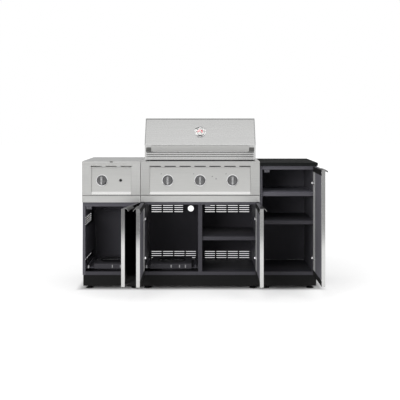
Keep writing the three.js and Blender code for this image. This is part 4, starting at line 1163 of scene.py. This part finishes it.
knobSettings = {
    "profile": (  # radius, and distance from the knob's back
        (0, 0), (0.034, 0), (0.035, 0.001), (0.035, 0.004), (0.0337, 0.0155), (0.0328, 0.0182),
        (0.0305, 0.020), (0.0265, 0.0194), (0, 0.0188),
    ),
    "gripHalf": 0.0085,
    "gripReach": 0.030,
    "gripLayers": ((0.016, 0), (0.0255, 0.0004), (0.0273, 0.0012), (0.028, 0.0030)),  # distance, inset
    "markHalf": 0.0008,
    "markLength": 0.011,
    "markDepth": (-0.0001, 0.002),
    "markInset": 0.004,
}


def makeKnob(name, settings):
    low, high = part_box(name)
    x, y, z = (low.x + high.x) / 2, high.y, (low.z + high.z) / 2
    about = (bodyOf[name], slotOf[name])
    profile, spots = settings["profile"], [(x, y, z)]
    turnedPiece(name + "_body", profile, spots, towardsFront, 64, "knobSteel", *about, (name,), smooth=35)

    build = bmesh.new()
    rings = []
    for along, inset in settings["gripLayers"]:
        outline = stadium(settings["gripHalf"] - inset, settings["gripReach"] - inset)
        rings.append([build.verts.new((x + across, y - along, z + up)) for across, up in outline])
    addWalls(build, rings)
    build.faces.new(rings[0])
    build.faces.new(rings[-1])
    solidPiece(name + "_grip", build, "gripSteel", *about, smooth=35)

    build = bmesh.new()
    half, (near, far) = settings["markHalf"], settings["markDepth"]
    front = y - settings["gripLayers"][-1][0]
    top = z + settings["gripReach"] - settings["markInset"]
    addBox(build, (x - half, front + near, top - settings["markLength"]), (x + half, front + far, top))
    solidPiece(name + "_mark", build, "blackPlastic", *about)


igniterSettings = {
    "inner": 0.0098,
    "outer": 0.013,
    "height": 0.006,
    "edge": ((0, 0.6), (0.0012, 1)),
    "mouth": ((0.0006, 1), (0, 0.9)),
    "cap": (  # radius, and distance behind the front of the button
        (0.006, 0.0062), (0.0095, 0.006), (0.0095, 0.0012), (0.0085, 0.0001), (0.0065, 0.0008), (0, 0.0008),
    ),
}


def makeIgniter(settings):
    low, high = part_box("igniter_button")
    centre = middleOf("igniter_button")
    profile = ringProfile(*(settings[key] for key in ("inner", "outer", "height", "edge", "mouth")))
    spots = [onPanel(panelSettings, "igniter_button")]
    about = (mainBody, slotOf["knob_1"])
    turnedPiece("igniter_ring", profile, spots, towardsFront, 40, "chrome", *about, ring=True, smooth=50)
    cap, length = settings["cap"], high.y - low.y
    profile = [(0, 0), (cap[0][0], 0)] + [(radius, length - behind) for radius, behind in cap]
    spots = [(centre.x, high.y, centre.z)]
    about = (bodyOf["igniter_button"], slotOf["igniter_button"], ("igniter_button",))
    turnedPiece("igniter_cap", profile, spots, towardsFront, 40, "blackPlastic", *about)


makePanel("left_control_panel", panelSettings)
makePanel("grill_control_panel", panelSettings)
makeBezels(panelSettings)
makePanelMarks(panelSettings)
for knobName in knobs:
    makeKnob(knobName, knobSettings)
makeIgniter(igniterSettings)
print("control panels and knobs: done")

# Doors

doorSettings = {
    "endBand": 0.039,  # black channel across the inside of the top and bottom ends
    "wall": 0.020,
    "reveal": 0.014,  # hinge pin to the cabinet's outer face
    "pullReach": 0.022,
    "pullDrop": 0.020,
    "pullFlange": 0.016,
    "pullSheet": 0.0018,
    "pullSteps": 14,
    "hingeFromEnd": 0.122,
    "cupReach": (0.029, 0.066),
    "cupHalf": 0.011,
    "cupRound": 0.008,
    "cupSheet": (-0.0002, 0.0012),  # from the door's inside
    "cupScrewInset": 0.009,
    "cupScrew": ((0, 0), (0.0036, 0), (0.0034, 0.0008), (0.0018, 0.0014), (0, 0.0012)),
    "clipReach": 0.0185,
    "clipDepth": 0.046,
    "clipHalf": 0.0085,
    "clipGap": 0.0005,
    "clipTaper": (0.6, 0.008),  # where it narrows, as a share of the depth, and the reach that is left
    "clipRound": 0.004,
    "frontSetback": 0.0195,
    "bumperInset": 0.016,
    "bumper": ((0, 0), (0.0045, 0), (0.0036, 0.0012), (0, 0.0016)),
}
panFinish = ("doorSteel", "blackCoat", "flangeSteel", "darkCoat")


def leafPlace(door):
    joint = joints[door + "_hinge"]
    turn = math.radians(-joint["range_deg"][0]) * joint["axis"][2]
    return Matrix.Translation((joint["pos_m"][0], joint["pos_m"][1], 0)) @ Matrix.Rotation(turn, 4, "Z")


def leafBox(node, place):
    back = place.inverted()
    spots = [back @ vertex.co for vertex in nodes[node].data.vertices]
    low = Vector(min(spot[axis] for spot in spots) for axis in range(3))
    high = Vector(max(spot[axis] for spot in spots) for axis in range(3))
    return low, high


def makeDoorPan(door, settings):
    node = door + "_pan"
    place = leafPlace(door)
    low, high = leafBox(node, place)
    mesh = mergedCopy(node)
    mesh.transform(place.inverted())
    build = bmesh.new()
    build.from_mesh(mesh)
    for z in (low.z + settings["endBand"], high.z - settings["endBand"]):
        everything = build.verts[:] + build.edges[:] + build.faces[:]
        bmesh.ops.bisect_plane(build, geom=everything, plane_co=(0, 0, z), plane_no=(0, 0, 1), dist=0.000001)
    for face in build.faces:
        middle = face.calc_center_median()
        toEnd = min(middle.z - low.z, high.z - middle.z)
        finish = "doorSteel"
        if abs(face.normal.z) > 0.9 and toEnd < 0.0001:  # the caps at both ends
            finish = "darkCoat"
        elif face.normal.y > 0.9 and middle.y > high.y - 0.0001:  # the inside
            finish = "blackCoat" if toEnd < settings["endBand"] else "flangeSteel"
        face.material_index = panFinish.index(finish)
    build.to_mesh(mesh)
    build.free()
    mesh.transform(place)
    newPiece(node + "_skin", mesh, panFinish, door, slotOf[node], (node,), 0.0008)


def pullCurve(settings, face, top, inset):
    reach, drop, steps = settings["pullReach"] - inset, settings["pullDrop"] - inset, settings["pullSteps"]
    angles = [math.pi / 2 * step / steps for step in range(steps + 1)]
    return [(face - reach * math.sin(a), top - inset - drop * (1 - math.cos(a))) for a in angles]


def makeDoorPull(door, settings):
    node = door + "_pull"
    place = leafPlace(door)
    low, high = leafBox(node, place)
    face, t = leafBox(door + "_pan", place)[0].y, settings["pullSheet"]
    back = face + settings["pullFlange"]
    outer, inner = (pullCurve(settings, face, high.z, inset) for inset in (0, t))
    build = bmesh.new()
    addPrism(build, [(back, high.z - t), (back, high.z)] + outer + inner[::-1], "x", low.x, high.x)
    mesh = finished(build, node + "_lip")
    # the curved lip takes the painted shade, the two ends stay stainless
    for polygon in mesh.polygons:
        polygon.material_index = int(abs(polygon.normal.x) > 0.9)
    mesh.transform(place)
    newPiece(node + "_lip", mesh, ("pullShadeSteel", "stainless"), door, slotOf[node], (node,), 0.0003, 20)


def makeDoorFittings(door, settings):
    place = leafPlace(door)
    low, high = leafBox(door + "_pan", place)
    side = 1 if high.x > -low.x else -1  # the way from the hinge edge to the free edge
    hingeEdge, freeEdge = (low.x, high.x) if side > 0 else (high.x, low.x)
    half, (sunk, raised) = settings["cupHalf"], settings["cupSheet"]
    left, right = sorted(hingeEdge + side * reach for reach in settings["cupReach"])
    build = bmesh.new()
    for z in (low.z + settings["hingeFromEnd"], high.z - settings["hingeFromEnd"]):
        plate = [(left, z - half), (right, z - half), (right, z + half), (left, z + half)]
        addPrism(build, rounded(plate, settings["cupRound"]), "y", high.y + sunk, high.y + raised)
        for x in (left + settings["cupScrewInset"], right - settings["cupScrewInset"]):
            addLathe(build, settings["cupScrew"], (x, high.y + raised, z), (0, 1, 0), 16)
    spot = (freeEdge - side * settings["bumperInset"], high.y, high.z - settings["endBand"] / 2)
    addLathe(build, settings["bumper"], spot, (0, 1, 0), 20)
    solidPiece(door + "_fittings", build, "chrome", door, "chrome", place=place)


def makeHingeClips(settings):
    half, (share, narrow) = settings["clipHalf"], settings["clipTaper"]
    build = bmesh.new()
    for door in doors:
        joint = joints[door + "_hinge"]
        inward = -joint["axis"][2]
        low, high = leafBox(door + "_pan", leafPlace(door))
        face = joint["pos_m"][0] + inward * (settings["wall"] - settings["reveal"])
        front = joint["pos_m"][1] + settings["frontSetback"]
        tip, start = face + inward * settings["clipReach"], front + settings["clipGap"]
        bend, back = front + settings["clipDepth"] * share, front + settings["clipDepth"]
        outline = [(face, start), (tip, start), (tip, bend), (face + inward * narrow, back), (face, back)]
        for z in (low.z + settings["hingeFromEnd"], high.z - settings["hingeFromEnd"]):
            addPrism(build, rounded(outline, settings["clipRound"], 3), "z", z - half, z + half)
    solidPiece("hinge_clips", build, "chrome", mainBody, "chrome", bevel=0.003)


for doorName in doors:
    makeDoorPan(doorName, doorSettings)
    makeDoorPull(doorName, doorSettings)
    makeDoorFittings(doorName, doorSettings)
    dressNode(doorName + "_liner", "linerCoat", 0.0005)
makeHingeClips(doorSettings)
print("doors: done")

# Feet and plinths

footSettings = {
    "profile": (  # radius and height
        (0, 0), (0.026, 0), (0.028, 0.002), (0.0275, 0.004), (0.023, 0.00864), (0.016, 0.0114),
        (0.010, 0.012), (0.010, 0.017), (0.006, 0.017), (0.006, 0.023), (0, 0.023),
    ),
    "inset": 0.041,
    "plinthLow": 0.022,
}


def makePlinth(module, settings):
    node = module + "_plinth"
    low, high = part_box(node)
    inset, foot = settings["inset"], settings["plinthLow"]
    build = bmesh.new()
    build.from_mesh(mergedCopy(node))
    below = []
    for face in build.faces:
        heights = [vert.co.z for vert in face.verts]
        if max(heights) < foot - 0.0001 or min(heights) < foot - 0.001:
            below.append(face)
    bmesh.ops.delete(build, geom=below, context="FACES")
    mesh = written(build, node + "_frame")
    newPiece(node + "_frame", mesh, "blackCoat", mainBody, slotOf[node], (node,), 0.0008)
    rows = (low.y + inset, high.y - inset)
    spots = [(x, y, low.z) for x in (low.x + inset, high.x - inset) for y in rows]
    about = ("blackPlastic", mainBody, slotOf[node])
    turnedPiece(module + "_feet", settings["profile"], spots, (0, 0, 1), 32, *about, smooth=40)


for moduleName in modules:
    makePlinth(moduleName, footSettings)
print("plinths and feet: done")

# Magnetic catches under the rails

catchSettings = {
    "width": 0.040,
    "depth": 0.016,
    "height": 0.022,
    "round": 0.002,
    "setback": 0.003,
    "gaps": {"left": 0.006, "middle": 0.020, "right": 0.014},  # beside the rail's end or the divider
    "pad": ((0, -0.001), (0.0045, -0.001), (0.0045, 0.0012), (0, 0.0016)),
}


def makeCatches(settings):
    build, spots = bmesh.new(), []
    half, height = settings["width"] / 2, settings["height"]
    for module, gap in settings["gaps"].items():
        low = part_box(module + "_rail")[0]
        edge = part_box("middle_divider")[1].x if module == "middle" else low.x
        x, front, foot = edge + half + gap, low.y + settings["setback"], low.z - height
        back = front + settings["depth"]
        outline = rounded([(front, foot), (back, foot), (back, low.z), (front, low.z)], settings["round"], 3)
        addPrism(build, outline, "x", x - half, x + half)
        spots += [(x + side * half * 0.5, front, low.z - height / 2) for side in (-1, 1)]
    about = (mainBody, "black_plastic")
    solidPiece("door_catches", build, "catchGrey", *about, bevel=0.001)
    turnedPiece("door_catch_pads", settings["pad"], spots, towardsFront, 20, "greyPlastic", *about)


makeCatches(catchSettings)
print("catches: done")

# Tray fittings

traySettings = {
    "tabs": {"left_tank_tray": (0.133, 0.193), "middle_tank_tray": (0.153, 0.2146, 0.2586)},
    "tabHalf": 0.004,
    "tabReach": 0.011,
    "tabDepth": (-0.003, 0.0005),
    "tabScrew": ((0, 0), (0.003, 0), (0.003, 0.0012), (0, 0.0018)),
    "rim": (  # radius, and height above the tray
        (0.0985, -0.004), (0.0985, 0.0018), (0.1, 0.003), (0.103, 0.003), (0.104, 0), (0.103, 0),
        (0.1, -0.004),
    ),
    "runnerReach": (0.0125, 0.0255),  # from the wall
    "runnerDepth": (0.0045, 0.0155),
    "runnerRise": (0.001, 0.0235),
}


def makeTrayFittings(node, settings):
    low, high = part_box(node)
    middle = middleOf(node)
    near, far = (low.y + depth for depth in settings["tabDepth"])
    build = bmesh.new()
    for offset in settings["tabs"][node]:
        x, z = low.x + offset, (low.z + high.z) / 2
        outline = stadium(settings["tabHalf"], settings["tabReach"])
        addPrism(build, [(x + across, z + up) for across, up in outline], "y", near, far)
        addLathe(build, settings["tabScrew"], (x, near, z), towardsFront, 16)
    solidPiece(node + "_tabs", build, "fittingSteel", bodyOf[node], "chrome", bevel=0.0008)
    spots = [(middle.x, middle.y, high.z)]
    about = ("blackCoat", bodyOf[node], slotOf[node])
    turnedPiece(node + "_rim", settings["rim"], spots, (0, 0, 1), 64, *about, ring=True, smooth=50)


def makeRunnerEnds(settings):
    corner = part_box("left_tank_tray")[0]
    near, far = (corner.y + depth for depth in settings["runnerDepth"])
    foot, top = (corner.z + rise for rise in settings["runnerRise"])
    left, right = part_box("left_floor")
    bay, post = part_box("middle_floor")[0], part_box("middle_divider")[0]
    build = bmesh.new()
    for face, side in ((left.x, 1), (right.x, -1), (bay.x, 1), (post.x, -1)):
        start, end = sorted(face + side * reach for reach in settings["runnerReach"])
        addBox(build, (start, near, foot), (end, far, top))
    solidPiece("runner_ends", build, "fittingSteel", mainBody, "chrome", bevel=0.002)


for trayName in traySettings["tabs"]:
    makeTrayFittings(trayName, traySettings)
makeRunnerEnds(traySettings)
print("tray fittings: done")

# Cooking grate

grateSettings = {"bars": 25, "bar": 0.006, "crossBars": 3, "crossHeight": 0.004}


def makeGrate(settings):
    low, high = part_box("cooking_grate")
    radius, cross = settings["bar"] / 2, settings["crossHeight"] / 2
    width, length = high.x - low.x, high.y - low.y
    pitch = (width - settings["bar"]) / (settings["bars"] - 1)
    start = (low.x + radius, (low.y + high.y) / 2, high.z - radius)
    values = {"Count": settings["bars"], "Step": (pitch, 0, 0), "Length": length, "Radius": radius}
    bars = grown("grate_bars", "rodRow", [start], "castIron", Facing=(0, 1, 0), **values)
    start = ((low.x + high.x) / 2, low.y + cross, low.z + cross)
    step = (0, length / 2 - cross, 0)
    values = {"Count": settings["crossBars"], "Step": step, "Length": width, "Radius": cross}
    joining = grown("grate_cross", "rodRow", [start], "castIron", Facing=(1, 0, 0), **values)
    slotName = slotOf["cooking_grate"]
    newPiece("grate_bars", bars, None, mainBody, slotName, ("cooking_grate",), smooth=40)
    newPiece("grate_cross_bars", joining, None, mainBody, slotName, smooth=40)


makeGrate(grateSettings)
print("cooking grate: done")

# Louvres behind the left cabinet's back

bladeSettings = {
    "columns": 3,
    "rows": 4,
    "pitch": 0.092,
    "rowPitch": 0.0167,
    "fromTop": 0.089,
    "fromFloor": 0.069,
    "size": (0.084, 0.0008, 0.0105),
    "tilt": 32,
    "behind": 0.0045,
    "drop": 0.0006,
}


def makeBlades(settings):
    low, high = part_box("left_back")
    middle, y = (low.x + high.x) / 2, high.y + settings["behind"]
    points = []
    for top in (high.z - settings["fromTop"], low.z + settings["fromFloor"]):
        for row in range(settings["rows"]):
            z = top - row * settings["rowPitch"] - settings["drop"]
            for column in range(settings["columns"]):
                points.append((middle + (column - (settings["columns"] - 1) / 2) * settings["pitch"], y, z))
    tilt = (math.radians(settings["tilt"]), 0, 0)
    mesh = grown("left_back_louvres", "ventBlades", points, "backCoat", Size=settings["size"], Tilt=tilt)
    newPiece("left_back_louvres", mesh, None, mainBody, slotOf["left_back"])


makeBlades(bladeSettings)
print("louvres: done")

# Screws

screwSettings = {
    "radius": 0.0045,
    "height": 0.0018,
    "inset": 0.008,
    "spacing": 0.16,
    "sideLift": 0.6,  # the side screws stand out less
    "sideFront": 0.055,
    "sideBack": 0.04,
    "sideEnd": 0.03,
}


def between(low, high, spacing):
    count = max(1, round((high - low) / spacing))
    return [low + (high - low) * step / count for step in range(count + 1)]


def screwRow(name, points, facing, settings):
    sizes = {"Radius": settings["radius"], "Height": settings["height"]}
    mesh = grown(name, "screwHeads", points, "blackPlastic", Facing=facing, **sizes)
    newPiece(name, mesh, None, mainBody, "black_plastic")


def makeScrews(settings):
    inset, lift = settings["inset"], settings["height"] / 2
    rear = []
    for module in modules:
        low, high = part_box(module + "_back")
        for z in between(low.z + inset, high.z - inset, settings["spacing"]):
            rear += [(low.x + inset, high.y + lift, z), (high.x - inset, high.y + lift, z)]
    screwRow("back_screws", rear, (0, 1, 0), settings)
    low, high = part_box("right_side_right")
    x = high.x + lift * settings["sideLift"]
    rows = (low.y + settings["sideFront"], high.y - settings["sideBack"])
    levels = (low.z + settings["sideEnd"], high.z - settings["sideEnd"])
    screwRow("side_screws", [(x, y, z) for y in rows for z in levels], (1, 0, 0), settings)


makeScrews(screwSettings)
print("screws: done")

# Everything else keeps its own shape, with softened edges and a finish

dressSettings = {  # finish, and width of the softened edges
    "right_countertop": ("blackTop", 0.003),
    "left_tank_tray": ("trayCoat", 0.0006),
    "middle_tank_tray": ("trayCoat", 0.0006),
    # floors, divider and lower shelves take the painted shade of the lower coat
    "left_floor": ("lowCoat", 0.0006),
    "middle_floor": ("lowCoat", 0.0006),
    "right_floor": ("lowCoat", 0.0006),
    "middle_divider": ("lowCoat", 0.0006),
    "middle_shelf": ("lowCoat", 0.0006),
    "right_shelf_lower": ("lowCoat", 0.0006),
    "left_back": ("backCoat", 0.0004),
    "right_back": ("backCoat", 0.0004),
}
plainFinish = {
    "stainless": "stainless",
    "dark_steel": "darkCoat",
    "black_steel": "blackCoat",
    "black_top": "blackTop",
    "chrome": "chrome",
    "black_plastic": "blackPlastic",
    "cast_iron": "castIron",
    "enamel": "enamel",
}
slotSettings = {"zone": (0.010, 0.076), "drop": 0.0045}  # the middle back's lower vents sit a little lower
seamSettings = {"gap": 0.0014}  # each head stands back a little, so the seam reads dark


def lowerSlots(mesh):
    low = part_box("middle_back")[0].z
    start, end = (low + height for height in slotSettings["zone"])
    for vertex in mesh.vertices:
        if start < vertex.co.z < end:
            vertex.co.z -= slotSettings["drop"]


def paintTopShading(mesh):
    # upward faces take the second finish: a painted darker reflection on the lid, painted light on the upper shelf
    for polygon in mesh.polygons:
        polygon.material_index = int(polygon.normal.z > 0.9)


def openSeam(node, side):
    low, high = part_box(node)
    edge = high.x if side > 0 else low.x

    def shaping(mesh):
        for vertex in mesh.vertices:
            if abs(vertex.co.x - edge) < 0.0002:
                vertex.co.x -= side * seamSettings["gap"]
    return shaping


def dressEverything():
    for node in sorted(nodes):
        if not nodes[node].hide_render:
            dressNode(node, *dressSettings.get(node, (plainFinish[slotOf[node]],)))


dressNode("left_head_shell", "stainless", 0.0018, openSeam("left_head_shell", 1))
# the grill head's shell takes the painted shade of the darker stainless
dressNode("grill_head_shell", "grillShadeSteel", 0.0018, openSeam("grill_head_shell", -1))
dressNode("grease_tray", "trayFront", 0.001, openSeam("grease_tray", -1))
# the lid's top takes the painted darker reflection
dressNode("burner_lid", ("stainless", "lidTopDarkReflection"), 0.0015, paintTopShading)
# the middle back takes the painted shade
dressNode("middle_back", "middleBackPaintedShadeCoat", 0.0004, lowerSlots)
# the upper shelf's top takes the painted light of the lighter coat
dressNode("right_shelf_upper", ("darkCoat", "shelfTopPaintedLightCoat"), 0.0006, paintTopShading)
dressEverything()
print("dressed copies: done")
